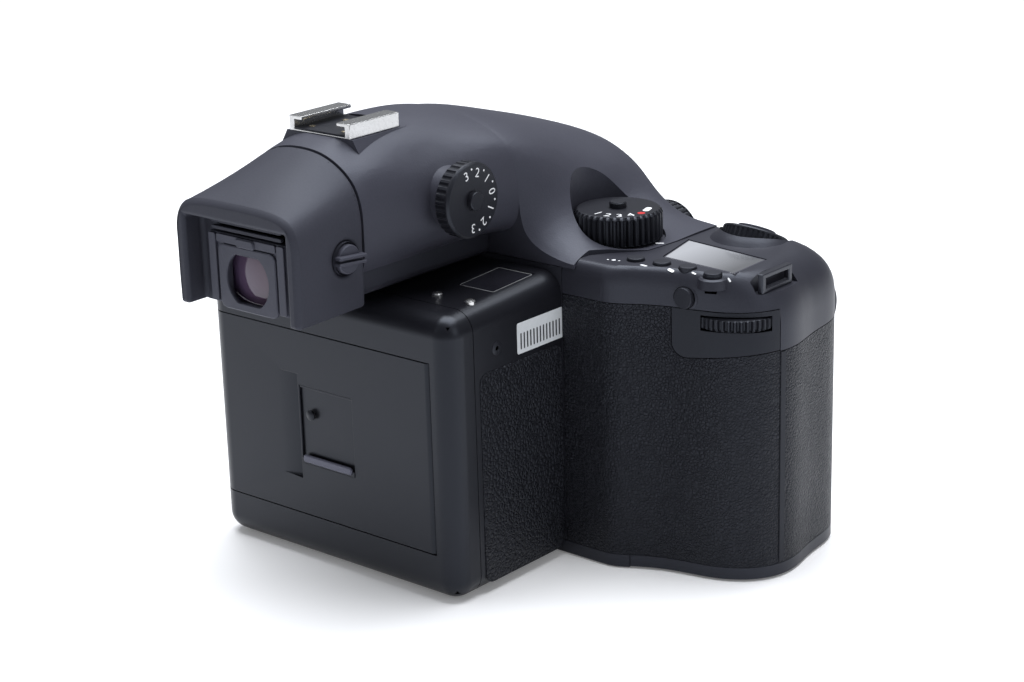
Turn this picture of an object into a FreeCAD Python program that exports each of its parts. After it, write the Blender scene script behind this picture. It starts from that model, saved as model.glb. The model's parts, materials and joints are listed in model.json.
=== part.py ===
import FreeCAD, Part
import os
import re
from math import cos, hypot, pi, radians, sin
import Sketcher
from FreeCAD import Placement, Rotation, Vector

# Medium format single lens reflex camera with a fixed prism finder and a film magazine.
# Millimetres. +X is the grip side, +Y looks at the subject, +Z is up.
# The origin is the mouth of the tripod socket, on the base plane under the lens axis.

SIZES = {
    # clearances and shell walls
    "seam": 0.2,
    "running": 0.05,
    "slide_gap": 0.3,
    "wall": 2.3,
    # lens axis, flange and film
    "lens_height": 46.0,
    "flange_y": 29.0,
    "gate_width": 56.0,
    "gate_height": 41.5,
    # body box
    "body_left": -50.0,
    "body_front": 24.0,
    "body_rear": -26.0,
    "body_corner": 5.0,
    "base_floor": 2.0,
    "base_top": 3.7,
    "shoulder_over_lens": 38.0,
    # plan outline of the grip, from the flat back round to the front
    "thumb_start_x": 58.5,
    "thumb_rise_x": 66.5, "thumb_rise_y": -23.2,
    "thumb_rest_x": 76.2, "thumb_rest_y": -19.0,
    "palm_heel_x": 89.2, "palm_heel_y": -16.0,
    "palm_corner_x": 98.4, "palm_corner_y": -10.2,
    "palm_side_x": 102.5, "palm_side_y": -1.0,
    "knuckle_x": 100.6, "knuckle_y": 14.0,
    "nose_right_x": 97.6, "nose_right_y": 29.0,
    "nose_tip_x": 86.5, "nose_tip_y": 37.0,
    "nose_left_x": 72.0, "nose_left_y": 33.5,
    "grip_root_x": 57.0,
    # grip covers and deck
    "grip_cover_top_rise": -7.6,
    "side_seam_y": -4.0,
    "deck_height_rise": 2.5,
    "deck_foot": 16.5,
    "deck_middle_x": 70.0, "deck_middle_y": 5.0,
    "smooth_line": 65.0,
    "smooth_line_slope": 0.02,
    "deck_rear_x": 50.0, "deck_rear_y": -19.5,
    "deck_step_x": 53.2, "deck_step_y": -15.0,
    "deck_turn_x": 60.6, "deck_turn_y": -7.2,
    "deck_front_x": 61.6,
    # swelling of the deck that carries the shutter release
    "mound_x": 75.5, "mound_y": 19.5,
    "mound_half_width": 16.5,
    "mound_half_depth": 15.0,
    "mound_half_height": 19.5,
    "mound_top_rise": 7.6,
    "cap_split_x": 65.8,
    # mirror box
    "box_half_width": 36.0,
    "box_bottom": 5.0,
    "box_top_rise": -8.2,
    "box_front": 21.6,
    "tunnel_half_width": 30.2,
    "tunnel_bottom": 15.0,
    "tunnel_top_rise": -14.5,
    "frame_plate": 2.1,
    "frame_left": -39.8,
    "frame_right": 45.4,
    "frame_height_rise": -0.2,
    # focal plane shutter
    "shutter_half_width": 33.0,
    "shutter_rear_back": -2.5,
    "shutter_front_back": -7.8,
    "shutter_bottom": 2.3,
    "shutter_top_rise": 6.0,
    "blade_thickness": 0.4,
    "blade_height": 21.6,
    "blade_overlap": 1.1,
    "blade_pitch": 0.8,
    # reflex mirror
    "mirror_hinge_y": -14.5,
    "mirror_hinge_z_rise": -18.0,
    "mirror_length": 35.5,
    "mirror_half_width": 27.0,
    "mirror_angle": 45.0,
    "mirror_barrel": 2.0,
    "mirror_frame_thickness": 1.6,
    "mirror_glass_thickness": 1.2,
    "mirror_pivot_radius": 1.0,
    # finder optics
    "screen_half_width": 28.5,
    "screen_rear": -15.0,
    "screen_front": 19.5,
    "screen_thickness": 2.4,
    "screen_aperture": 27.5,
    "prism_half_width": 25.0,
    "prism_height": 27.5,
    "prism_face_height": 11.0,
    "prism_back_height": 20.0,
    "prism_ridge_y": 3.0,
    # eyepiece and hood
    "hood_rear_back": 77.0,
    "hood_front_back": 51.2,
    "hood_bottom_rise": -2.6,
    "hood_opening": 18.7,
    "hood_opening_top_rise": 22.0,
    "hood_edge": 1.2,
    "plate_rear_back": 72.2,
    "plate_thickness": 1.8,
    "plate_half_width": 14.1,
    "plate_bottom_rise": -1.6,
    "plate_top_rise": 17.5,
    "eye_height_rise": 5.6,
    "eye_half_width": 8.0,
    "eye_half_height": 6.6,
    "lens_block_half_width": 10.5,
    "lens_block_half_height": 6.8,
    "lens_thickness": 5.0,
    "lens_curve": 42.0,
    "tube_half_width": 12.5,
    "finder_floor_rise": -0.6,
    "finder_seam_rise": 6.3,
    "finder_half_width": 19.8,
    "finder_chamfer": 2.6,
    # dioptre knob
    "diopter_wall_x": 21.2,
    "diopter_y_back": 58.5,
    "diopter_z_rise": 12.3,
    "diopter_radius": 4.2,
    "diopter_height": 2.4,
    # hot shoe
    "shoe_rear_back": 44.0,
    "shoe_length": 18.9,
    "shoe_floor_rise": 40.2,
    "shoe_half_width": 11.2,
    "shoe_slot_half_width": 9.3,
    "shoe_lip_half_width": 6.4,
    "shoe_slot_height": 2.1,
    "shoe_lip": 1.0,
    "shoe_sheet": 0.5,
    "plinth_half_width": 17.0,
    # lens mount
    "mount_outer": 34.5,
    "mount_inner": 30.5,
    "mount_tab_inner": 28.6,
    "mount_tab_angle": 46.0,
    "mount_tab_count": 3,
    "mount_tab_depth": 2.0,
    "mount_tab_setback": 1.2,
    "mount_bore_cover": 31.0,
    "screw_circle": 32.5,
    "screw_count": 5,
    "screw_head": 1.6,
    "screw_head_depth": 1.2,
    "screw_shank": 0.9,
    # front controls
    "release_x": -34.5,
    "release_z": 18.0,
    "release_radius": 4.4,
    "release_stroke": 2.5,
    "mirror_up_x": 41.4,
    "mirror_up_z_rise": -3.8,
    "mirror_up_radius": 10.0,
    "mirror_up_height": 5.4,
    "mirror_up_shaft": 3.0,
    "mirror_up_ribs": 36,
    "front_dial_x": 88.0,
    "front_dial_z_rise": -17.5,
    "front_dial_radius": 8.0,
    "front_dial_width": 9.0,
    "front_dial_proud": 1.6,
    "front_dial_ribs": 30,
    # shutter release group on the nose of the grip
    "release_seat_x": 75.8,
    "release_seat_y": 20.6,
    "release_tilt": 27.0,
    "seat_radius": 9.8,
    "seat_height_rise": -0.3,
    "drive_radius": 9.3,
    "drive_bore": 6.0,
    "drive_height": 4.0,
    "drive_ribs": 40,
    "shutter_button_radius": 5.4,
    "shutter_button_lift": 2.5,
    "shutter_button_height": 2.9,
    # mode dial
    "mode_x": 46.2,
    "mode_y": -1.7,
    "mode_radius": 12.4,
    "mode_height": 7.4,
    "mode_ribs": 44,
    "mode_button_radius": 2.3,
    "mode_button_height": 1.7,
    "mode_stroke": 1.0,
    # exposure compensation dial
    "comp_y_back": 21.0,
    "comp_z_rise": 21.2,
    "comp_wall_x": 28.2,
    "comp_radius": 10.3,
    "comp_height": 5.0,
    "comp_ribs": 32,
    "comp_button_radius": 2.6,
    "comp_button_height": 1.5,
    "comp_stroke": 1.0,
    # rear dial and its bezel
    "rear_dial_x": 88.6,
    "rear_dial_y": -5.2,
    "rear_dial_z_rise": -12.7,
    "rear_dial_radius": 12.0,
    "rear_dial_height": 3.6,
    "rear_dial_ribs": 48,
    "bezel_left": 77.0,
    "bezel_round": 4.0,
    "bezel_bottom_rise": -21.7,
    "bezel_slope": 0.12,
    "bezel_reach": 36.0,
    # buttons on the deck
    "function_first_x": 63.2, "function_first_y": -16.0,
    "function_pitch_x": 8.0, "function_pitch_y": 1.0,
    "function_bend": 1.2,
    "function_drop": 0.6,
    "function_radius": 2.4,
    "function_proud": 0.9,
    "lock_x": 80.6,
    "lock_z_rise": -4.6,
    "lock_face_y": -18.9,
    "lock_depth": 3.6,
    "lock_radius": 2.9,
    # display windows
    "display_rear_left_x": 67.2, "display_rear_left_y": -9.0,
    "display_rear_right_x": 92.0, "display_rear_right_y": -11.0,
    "display_front_right_x": 91.4, "display_front_right_y": 4.4,
    "display_front_left_x": 62.9, "display_front_left_y": 8.4,
    "display_depth": 1.3,
    # strap lugs
    "lug_y": -0.8,
    "lug_length": 14.0,
    "lug_height": 5.4,
    "lug_bar": 1.7,
    "lug_tilt": 35.0,
    "lug_right_x": 97.8,
    "lug_recess": 1.4,
    "lug_right_z_rise": -3.1,
    "lug_left_x": -46.6,
    "lug_left_z_rise": 6.75,
    # base
    "socket_radius": 6.0,
    "socket_bore": 3.175,
    "socket_depth": 9.5,
    # battery case
    "cell_radius": 7.25,
    "cell_length": 50.5,
    "cell_pitch": 14.6,
    "cell_column_x": 13.9,
    "cell_column_y": 4.5,
    "cell_play": 0.1,
    "cell_first_x": 74.5,
    "cell_first_y": -9.0,
    "tray_height": 52.0,
    "tray_floor": 5.0,
    "cap_lift": 0.3,
    "tray_margin": 2.7,
    "lock_knob_x": 80.0,
    "lock_knob_y": 9.0,
    "lock_knob_radius": 6.5,
    "lock_knob_height": 1.7,
    "lock_knob_recess": 2.6,
    "lock_knob_pin": 1.5,
    # film magazine
    "magazine_half_width": 45.2,
    "magazine_left": -46.4,
    "magazine_rear_back": 46.0,
    "magazine_split_back": 36.5,
    "magazine_top_rear_rise": -4.2,
    "magazine_top_front_rise": -1.7,
    "magazine_wall": 2.2,
    "magazine_edge": 6.0,
    "magazine_face": 5.9,
    "door_right": 37.75,
    "door_top_rise": -16.7,
    "door_bottom": 13.2,
    "door_barrel": 1.75,
    "door_pin": 0.75,
    "latch_z": 40.0,
    "latch_length": 12.0,
    "latch_width": 4.0,
    "latch_stroke": 3.0,
    "clip_left": -11.4, "clip_right": 8.6,
    "clip_bottom": 28.7, "clip_top": 51.6,
    "clip_depth": 1.1,
    "insert_half_width": 36.0,
    "insert_front_back": 6.4,
    "insert_rear_back": 40.0,
    "insert_bottom": 6.0,
    "insert_top_rise": -8.0,
    "insert_plate": 1.6,
    "spool_y_back": 25.0,
    "spool_low_z": 21.5,
    "spool_high_z_rise": -23.5,
    "spool_core": 5.0,
    "spool_flange": 12.2,
    "spool_flange_thickness": 1.2,
    "spool_half_length": 32.9,
    "spool_trunnion": 2.0,
    "dark_slide_y_back": 3.6,
    "dark_slide_thickness": 0.5,
    "dark_slide_half_height": 24.0,
    "dark_handle_x": -50.6,
    "dark_handle_thickness": 2.4,
    "pad_left": 27.0, "pad_right": 39.5,
    "pad_rear_back": 21.5, "pad_front_back": 4.5,
    "pad_depth": 1.0,
    "stud_y_back": 31.0,
    "stud_radius": 1.3,
    "stud_proud": 0.6,
}

# Places worked out from the driving sizes: the shoulder follows the lens axis, a size named _rise
# is a height above the shoulder, and a size named _back is a distance behind the body's flat back
WORKED_OUT = {"shoulder_height": "(lens_height+shoulder_over_lens)"}
for alias in SIZES:
    if alias.endswith("_rise"):
        WORKED_OUT[alias[:-5]] = f"(shoulder_height+{alias})"
    if alias.endswith("_back"):
        WORKED_OUT[alias[:-5]] = f"(body_rear-{alias})"

doc = FreeCAD.newDocument("camera")
sheet = doc.addObject("Spreadsheet::Sheet", "Sizes")
for row, (alias, number) in enumerate(SIZES.items(), start=1):
    sheet.set(f"A{row}", alias)
    sheet.set(f"B{row}", str(number))
    sheet.setAlias(f"B{row}", alias)
doc.recompute()


# Helpers: an expression is written with the plain aliases of the sheet
def bound(text):
    """The expression with worked-out places spelled out and each alias as the sheet's own cell."""
    while any(word in WORKED_OUT for word in re.findall(r"[a-z_]+", text)):
        text = re.sub(r"[a-z_]+", lambda word: WORKED_OUT.get(word[0], word[0]), text)
    return re.sub(r"[a-z_]+", lambda word: "Sizes." + word[0] if word[0] in SIZES else word[0], text)


def value(text):
    """The number that an expression of sheet aliases has now."""
    return float(sheet.evalExpression(bound(str(text))))


def bind(thing, **expressions):
    """Ties properties of a document object to the sheet."""
    for name, text in expressions.items():
        thing.setExpression(name, bound(text))


def place(thing, x="0", y="0", z="0", turn=None):
    """Puts an object at a point of the sheet's sizes, turned by a fixed rotation."""
    thing.Placement = Placement(Vector(), turn or Rotation())
    for axis, text in zip("xyz", (x, y, z)):
        thing.setExpression(f"Placement.Base.{axis}", bound(text))
    return thing


def block(name, x, y, z):
    """A box between two expressions on each axis."""
    thing = doc.addObject("Part::Box", name)
    bind(thing, Length=f"({x[1]})-({x[0]})", Width=f"({y[1]})-({y[0]})", Height=f"({z[1]})-({z[0]})")
    return place(thing, x[0], y[0], z[0])


TURNS = {"Z": Rotation(), "X": Rotation(Vector(0, 1, 0), 90), "Y": Rotation(Vector(1, 0, 0), -90)}


def rod(name, axis, start, length, radius):
    """A cylinder from a start point along +X, +Y or +Z."""
    thing = doc.addObject("Part::Cylinder", name)
    bind(thing, Radius=radius, Height=length)
    return place(thing, *start, turn=TURNS[axis])


def join(name, *pieces):
    """One piece from several that overlap or touch."""
    thing = doc.addObject("Part::MultiFuse", name)
    thing.Shapes = list(pieces)
    thing.Refine = True
    return thing


def cut(name, base, *tools):
    """A piece less one or more tools."""
    thing = doc.addObject("Part::Cut", name)
    thing.Base = base
    thing.Tool = tools[0] if len(tools) == 1 else join(name + "_tools", *tools)
    return thing


def common(name, *pieces):
    """What several pieces have in common."""
    thing = doc.addObject("Part::MultiCommon", name)
    thing.Shapes = list(pieces)
    return thing


def shaped(name, shape):
    """A freely shaped solid that its own formula has worked out."""
    thing = doc.addObject("Part::Feature", name)
    thing.Shape = shape
    return thing


def rounded(name, base, radius, chosen):
    """A piece with the edges that the chooser picks rounded to one radius."""
    doc.recompute()
    thing = doc.addObject("Part::Fillet", name)
    thing.Base = base
    size = value(radius)
    edges = [i for i, edge in enumerate(base.Shape.Edges, start=1) if chosen(edge)]
    thing.Edges = [(i, size, size) for i in edges]
    return thing


def plane_of(body, role):
    """One origin plane or axis of a body."""
    return [item for item in body.Origin.OriginFeatures if item.Role == role][0]


def sketch_in(body, name, role="XY_Plane", lift="0"):
    """An empty sketch on an origin plane of its body, lifted off it."""
    sketch = body.newObject("Sketcher::SketchObject", name)
    sketch.AttachmentSupport = [(plane_of(body, role), "")]
    sketch.MapMode = "FlatFace"
    sketch.setExpression("AttachmentOffset.Base.z", bound(lift))
    return sketch


def pin_point(sketch, geometry, point, x, y):
    """Ties a point of a sketch to two expressions measured from its origin."""
    for kind, text, axis_line in (("DistanceX", x, -2), ("DistanceY", y, -1)):
        if text == "0":
            sketch.addConstraint(Sketcher.Constraint("PointOnObject", geometry, point, axis_line))
            continue
        index = sketch.addConstraint(Sketcher.Constraint(kind, -1, 1, geometry, point, value(text)))
        sketch.setExpression(f"Constraints[{index}]", bound(text))


def draw_circle(sketch, x, y, radius):
    """A circle held by its centre and radius."""
    ring = Part.Circle(Vector(value(x), value(y), 0), Vector(0, 0, 1), value(radius))
    index = sketch.addGeometry(ring)
    pin_point(sketch, index, 3, x, y)
    size = sketch.addConstraint(Sketcher.Constraint("Radius", index, value(radius)))
    sketch.setExpression(f"Constraints[{size}]", bound(radius))


def draw_polygon(sketch, points):
    """A closed outline with each corner held by two expressions."""
    corners = [Vector(value(x), value(y), 0) for x, y in points]
    first = len(sketch.Geometry)
    for i, corner in enumerate(corners):
        sketch.addGeometry(Part.LineSegment(corner, corners[(i + 1) % len(corners)]))
    for i, (x, y) in enumerate(points):
        following = first + (i + 1) % len(points)
        sketch.addConstraint(Sketcher.Constraint("Coincident", first + i, 2, following, 1))
        pin_point(sketch, first + i, 1, x, y)


def pad(body, sketch, length):
    """A pad of a sketch along its normal."""
    feature = body.newObject("PartDesign::Pad", sketch.Name + "_pad")
    feature.Profile = sketch
    bind(feature, Length=length)
    return feature


def pocket(body, sketch, length):
    """A pocket cut along the sketch's own normal."""
    feature = body.newObject("PartDesign::Pocket", sketch.Name + "_pocket")
    feature.Profile = sketch
    feature.Reversed = True
    bind(feature, Length=length)
    return feature


def spin(body, sketch):
    """A turned solid about the body's Z axis."""
    feature = body.newObject("PartDesign::Revolution", sketch.Name + "_turned")
    feature.Profile = sketch
    feature.ReferenceAxis = (plane_of(body, "Z_Axis"), [""])
    feature.Angle = 360
    return feature


def repeat_round(body, feature, count):
    """Copies of one feature spaced evenly round the body's Z axis."""
    doc.recompute()
    pattern = body.newObject("PartDesign::PolarPattern", feature.Name + "_ring")
    pattern.Originals = [feature]
    pattern.Axis = (plane_of(body, "Z_Axis"), [""])
    pattern.Angle = 360
    bind(pattern, Occurrences=count)
    body.Tip = pattern
    return pattern


def turned(name, profile):
    """A body turned from a half profile of (radius, height) corners."""
    body = doc.addObject("PartDesign::Body", name)
    sketch = sketch_in(body, name + "_profile", "XZ_Plane")
    draw_polygon(sketch, profile)
    spin(body, sketch)
    return body


def ribbed_wheel(name, radius, height, ribs, bore, lip="0.4"):
    """A turned wheel with a chamfered rim, a centre bore and grooves cut along its rim."""
    body = turned(name, [
        (bore, "0"), (f"{radius}-{lip}", "0"), (radius, lip), (radius, f"{height}-{lip}"),
        (f"{radius}-{lip}", height), (bore, height)])
    groove = sketch_in(body, name + "_groove")
    draw_circle(groove, f"{radius}+{radius}*{pi:.5f}/{ribs}*0.35", "0", f"{radius}*{pi:.5f}/{ribs}*0.75")
    repeat_round(body, pocket(body, groove, f"{height}-{lip}*2"), ribs)
    return body


PARTS = []


def keep(thing, node):
    """Names a finished piece and puts it on the list of pieces."""
    thing.Label = node
    PARTS.append(thing)
    return thing


# Plan outline of body and grip, and solids drawn up from it
GRIP_POINTS = (
    "thumb_start", "thumb_rise", "thumb_rest", "palm_heel", "palm_corner", "palm_side",
    "knuckle", "nose_right", "nose_tip", "nose_left", "grip_root",
)


def grip_points():
    """The points of the grip's outline, from the back of the body to its front."""
    ends = {"thumb_start": "body_rear", "grip_root": "body_front"}
    return [Vector(value(p + "_x"), value(ends.get(p, p + "_y")), 0) for p in GRIP_POINTS]


def grip_curve(points):
    """A smooth curve through points that leaves the back and meets the front in line with them."""
    grip = Part.BSplineCurve()
    grip.interpolate(Points=points, InitialTangent=Vector(12, 0, 0), FinalTangent=Vector(-22, 0, 0))
    return grip


def plan_face():
    """Straight back, side and front with round corners, and a grip drawn as tangent arcs."""
    left, front, rear = value("body_left"), value("body_front"), value("body_rear")
    corner = value("body_corner")
    points = grip_points()
    grip = grip_curve(points)
    bend = corner * (1 - cos(pi / 4))
    edges = [arc.toShape() for arc in grip.toBiArcs(0.05)] + [
        Part.makeLine(points[-1], Vector(left + corner, front, 0)),
        Part.Arc(Vector(left + corner, front, 0), Vector(left + bend, front - bend, 0),
                 Vector(left, front - corner, 0)).toShape(),
        Part.makeLine(Vector(left, front - corner, 0), Vector(left, rear + corner, 0)),
        Part.Arc(Vector(left, rear + corner, 0), Vector(left + bend, rear + bend, 0),
                 Vector(left + corner, rear, 0)).toShape(),
        Part.makeLine(Vector(left + corner, rear, 0), points[0]),
    ]
    return Part.Face(Part.Wire(edges))


def plan_prism(name, inset, low, high):
    """The plan outline, drawn in by an inset, as a solid between two heights."""
    wire = doc.getObject("plan_outline")
    if inset != "0":
        offset = doc.addObject("Part::Offset2D", name + "_outline")
        offset.Source = wire
        offset.Mode = "Skin"
        offset.Join = "Arc"
        bind(offset, Value=f"-({inset})")
        wire = offset
    thing = doc.addObject("Part::Extrusion", name)
    thing.Base = wire
    thing.DirMode = "Custom"
    thing.Dir = Vector(0, 0, 1)
    thing.Solid = True
    bind(thing, LengthFwd=f"({high})-({low})")
    return place(thing, z=low)


shaped("plan_outline", plan_face())
OPEN = "400"


# Base cover with a rim, split where the battery cap begins
base_plan = cut("base_plan", plan_prism("base_outer", "0", "0", "base_top"),
                plan_prism("base_inner", "wall", "base_floor", "base_top+1"))
base_side = block("base_side", (f"-{OPEN}", "cap_split_x-seam/2"), (f"-{OPEN}", OPEN), ("-1", "base_top+1"))
socket_hole = rod("socket_hole", "Z", ("0", "0", "-1"), "base_top+2", "socket_radius+running")
keep(cut("base_cover_cut", common("base_left_plan", base_plan, base_side), socket_hole), "base_cover")

socket = turned("socket_body", [
    ("socket_bore", "0"), ("socket_radius", "0"), ("socket_radius", "socket_depth"),
    ("socket_bore", "socket_depth")])
keep(socket, "tripod_socket")

# Side walls of the body and grip, cut into covers at the seams
shell = cut("wall_shell", plan_prism("wall_outer", "0", "base_top+seam/2", "shoulder_height-seam/2"),
            plan_prism("wall_inner", "wall", "base_top-1", "shoulder_height+1"))
left_zone = block("left_zone", (f"-{OPEN}", "frame_left-seam"), (f"-{OPEN}", OPEN), ("0", OPEN))
keep(common("left_shell", shell, left_zone), "left_cover")

front_zone = block("front_zone", ("frame_left", "grip_root_x"), ("body_front-wall*2", OPEN), ("0", OPEN))
mount_hole = rod("mount_hole", "Y", ("0", "0", "lens_height"), OPEN, "mount_bore_cover")
release_hole = rod("release_hole", "Y", ("release_x", "0", "release_z"), OPEN, "release_radius+slide_gap")
mirror_up_hole = rod("mirror_up_hole", "Y", ("mirror_up_x", "0", "mirror_up_z"), OPEN,
                     "mirror_up_shaft+running")


def screw_ring(name, radius, start, length):
    """Rods on the screw circle of the lens mount."""
    rods = []
    for i in range(int(value("screw_count"))):
        turn = f"({i}*360/screw_count+90)"
        centre = (f"screw_circle*cos({turn})", start, f"lens_height+screw_circle*sin({turn})")
        rods.append(rod(f"{name}_{i}", "Y", centre, length, radius))
    return rods


cover_screw_holes = screw_ring("cover_screw_hole", "screw_shank+running", "body_front-wall-1", "wall+2")
keep(cut("front_cover_cut", common("front_shell", shell, front_zone), mount_hole, release_hole,
         mirror_up_hole, *cover_screw_holes), "front_cover")

def side_slab(name, corners):
    """A flat outline in the YZ plane, drawn through the whole width."""
    body = doc.addObject("PartDesign::Body", name)
    sketch = sketch_in(body, name + "_outline", "YZ_Plane", f"-{OPEN}")
    draw_polygon(sketch, corners)
    pad(body, sketch, f"{OPEN}*2")
    return body


def smooth_line_at(y):
    """Height of the line on the grip where the leather ends and the smooth shoulder begins."""
    return f"smooth_line+(({y})-side_seam_y)*smooth_line_slope"


front_start = "side_seam_y+seam/2"
grip_front_zone = side_slab("grip_front_zone", [
    (front_start, "-1"), ("100", "-1"), ("100", smooth_line_at("100") + "-seam"),
    (front_start, smooth_line_at(front_start) + "-seam")])
grip_right = block("grip_right", ("grip_root_x+seam", OPEN), (f"-{OPEN}", OPEN), ("0", OPEN))
front_dial_slot = block("front_dial_slot",
                        ("front_dial_x-front_dial_width/2-slide_gap",
                         "front_dial_x+front_dial_width/2+slide_gap"), ("body_front", OPEN),
                        ("front_dial_z-front_dial_radius", "front_dial_z+front_dial_radius"))
rear_dial_slot = rod("rear_dial_slot", "Z", ("rear_dial_x", "rear_dial_y", "rear_dial_z-slide_gap"),
                     "rear_dial_height+slide_gap*2", "rear_dial_radius+slide_gap")
keep(cut("grip_shell_cut", common("grip_front_shell", shell, grip_front_zone, grip_right), front_dial_slot),
     "grip_shell")


def bezel_block(name, grow):
    """The zone of the rear dial's bezel, with its rising lower edge and its round corner."""
    body = doc.addObject("PartDesign::Body", name)
    sketch = sketch_in(body, name + "_outline", "XZ_Plane", f"-({front_start}-seam)")
    left, low, right = f"bezel_left-{grow}", f"bezel_bottom-{grow}", "bezel_left+bezel_reach"
    draw_polygon(sketch, [(left, low), (right, f"{low}+bezel_reach*bezel_slope"), (right, "grip_cover_top"),
                          (left, "grip_cover_top")])
    pad(body, sketch, OPEN)
    return rounded(name + "_rounded", body, f"bezel_round+{grow}",
                   lambda edge: edge.BoundBox.XMax < value("bezel_left") + 1
                   and edge.BoundBox.ZMax < value("bezel_bottom") + 1)


grip_rear_zone = block("grip_rear_zone", ("frame_right+seam", OPEN), (f"-{OPEN}", "side_seam_y-seam/2"),
                       ("0", "grip_cover_top"))
keep(cut("grip_rear_cut", common("grip_rear_shell", shell, grip_rear_zone),
         bezel_block("bezel_room", "seam")), "grip_rear_cover")
keep(cut("bezel_cut", common("bezel_shell", shell, bezel_block("bezel_zone", "0")), rear_dial_slot),
     "rear_dial_bezel")

# Grip deck: levels of the lid, each a depth below its top in shares of the deck's foot, and the shares
# by which the outline is drawn in towards the middle of the deck at its side, its front and its rear.
# At the rear the side is drawn in by less, so that the corner behind the strap lug stays full
DECK_LEVELS = [(1.7, 0, 0, 0), (0.9, 0, 0, 0), (0.79, 0.003, 0.003, 0), (0.66, 0.011, 0.012, 0),
               (0.54, 0.026, 0.032, 0), (0.42, 0.05, 0.065, 0), (0.32, 0.08, 0.105, 0),
               (0.23, 0.118, 0.155, 0.004), (0.15, 0.162, 0.21, 0.013), (0.08, 0.212, 0.275, 0.03),
               (0.03, 0.262, 0.34, 0.055), (0, 0.32, 0.41, 0.09)]
REAR_EASE = 0.4


def deck_section(depth, side, front, rear, inset):
    """The grip's outline at one depth, drawn in towards the deck's middle and closed on its left."""
    middle = Vector(value("deck_middle_x"), value("deck_middle_y"), 0)
    height = value("deck_height") - depth * value("deck_foot") - inset
    points = []
    base = grip_points()
    for i, point in enumerate(base):
        along = base[min(i + 1, len(base) - 1)] - base[max(i - 1, 0)]
        point = point + Vector(-along.y, along.x, 0).normalize() * inset
        x, y = point.x, point.y
        if x > middle.x:
            forward = min(1, max(0, (point.y - base[0].y) / (middle.y - base[0].y)))
            x -= (x - middle.x) * side * (REAR_EASE + (1 - REAR_EASE) * forward)
        if point.y < middle.y:
            y += (middle.y - y) * rear
        elif i < len(base) - 1:
            y -= (y - middle.y) * front
        points.append(Vector(x, y, height))
    left = value("frame_left")
    corners = [points[-1], Vector(left, points[-1].y, height), Vector(left, points[0].y, height), points[0]]
    lines = [Part.makeLine(first, second) for first, second in zip(corners, corners[1:])]
    return Part.Wire([grip_curve(points).toShape()] + lines)


def deck_form(name, inset):
    """The lid of the grip with the swelling of the shutter release, drawn in by an inset."""
    sections = [deck_section(*level, value(inset)) for level in DECK_LEVELS]
    lid = shaped(name + "_lid", Part.makeLoft(sections, True, True))
    mound = doc.addObject("Part::Ellipsoid", name + "_mound")
    bind(mound, Radius1=f"mound_half_height-({inset})", Radius2=f"mound_half_width-({inset})",
         Radius3=f"mound_half_depth-({inset})")
    mound.Angle1, mound.Angle2, mound.Angle3 = -90, 90, 360
    place(mound, "mound_x", "mound_y", "mound_top-mound_half_height")
    within = plan_prism(name + "_within", inset + "+slide_gap*1.5", "deck_height-deck_foot", OPEN)
    return join(name, lid, common(name + "_mound_within", mound, within))


def deck_zone(name, grow):
    """The deck's part above the shoulder, seen from above, as a tall prism."""
    body = doc.addObject("PartDesign::Body", name)
    sketch = sketch_in(body, name + "_outline", "XY_Plane", "shoulder_height")
    far = f"({OPEN}/2)"
    draw_polygon(sketch, [
        (f"deck_rear_x-{grow}", f"-{far}"), (far, f"-{far}"), (far, far), (f"deck_front_x-{grow}", far),
        (f"deck_front_x-{grow}", "deck_middle_y"), (f"deck_turn_x-{grow}", f"deck_turn_y+{grow}"),
        (f"deck_step_x-{grow}", f"deck_step_y+{grow}"), (f"deck_rear_x-{grow}", f"deck_rear_y+{grow}")])
    pad(body, sketch, OPEN)
    return body


deck_outer = deck_form("deck_outer", "0")
deck_low = join("deck_low", block("deck_low_front", ("grip_root_x+seam", OPEN), (f"-{OPEN}", OPEN),
                                  ("0", "shoulder_height")),
                block("deck_low_rear", ("frame_right+seam", OPEN), (f"-{OPEN}", "deck_step_y"),
                      ("0", "shoulder_height")))
lid_zone = side_slab("lid_zone", [
    ("-100", "grip_cover_top+seam"), (front_start, "grip_cover_top+seam"),
    (front_start, smooth_line_at(front_start)), ("100", smooth_line_at("100")), ("100", "shoulder_height*2"),
    ("-100", "shoulder_height*2")])
deck_zones = join("deck_zones", deck_low, deck_zone("deck_high", "0"))
deck_body = common("deck_body", deck_outer, deck_zones, lid_zone)
deck_skin = cut("deck_skin", deck_body, deck_form("deck_inner", "wall"))

TILT = Rotation(Vector(1, 0, 0), -value("release_tilt"))


def on_release_axis(thing, lift):
    """Puts a piece on the tilted axis of the shutter release, above its seat."""
    return place(thing, "release_seat_x", f"release_seat_y+({lift})*sin(release_tilt)",
                 f"seat_height+({lift})*cos(release_tilt)", turn=TILT)


def tilted_rod(name, lift, length, radius):
    """A cylinder on the tilted axis of the shutter release."""
    thing = doc.addObject("Part::Cylinder", name)
    bind(thing, Radius=radius, Height=length)
    return on_release_axis(thing, lift)


def lug_plate(name, x, z, tilt):
    """A strap lug: an upright loop of bar, standing on its seat and tilted about it."""
    body = doc.addObject("PartDesign::Body", name)
    sketch = sketch_in(body, name + "_outline", "YZ_Plane", "-lug_bar/2")
    half, inner = "(lug_length/2)", "(lug_length/2-lug_bar)"
    draw_polygon(sketch, [(f"-{half}", "0"), (half, "0"), (half, "lug_height"), (f"-{half}", "lug_height")])
    draw_polygon(sketch, [(f"-{inner}", "lug_bar*0.8"), (inner, "lug_bar*0.8"),
                          (inner, "lug_height-lug_bar*0.8"), (f"-{inner}", "lug_height-lug_bar*0.8")])
    pad(body, sketch, "lug_bar")
    return place(body, x, "lug_y", z, turn=Rotation(Vector(0, 1, 0), tilt))


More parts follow.
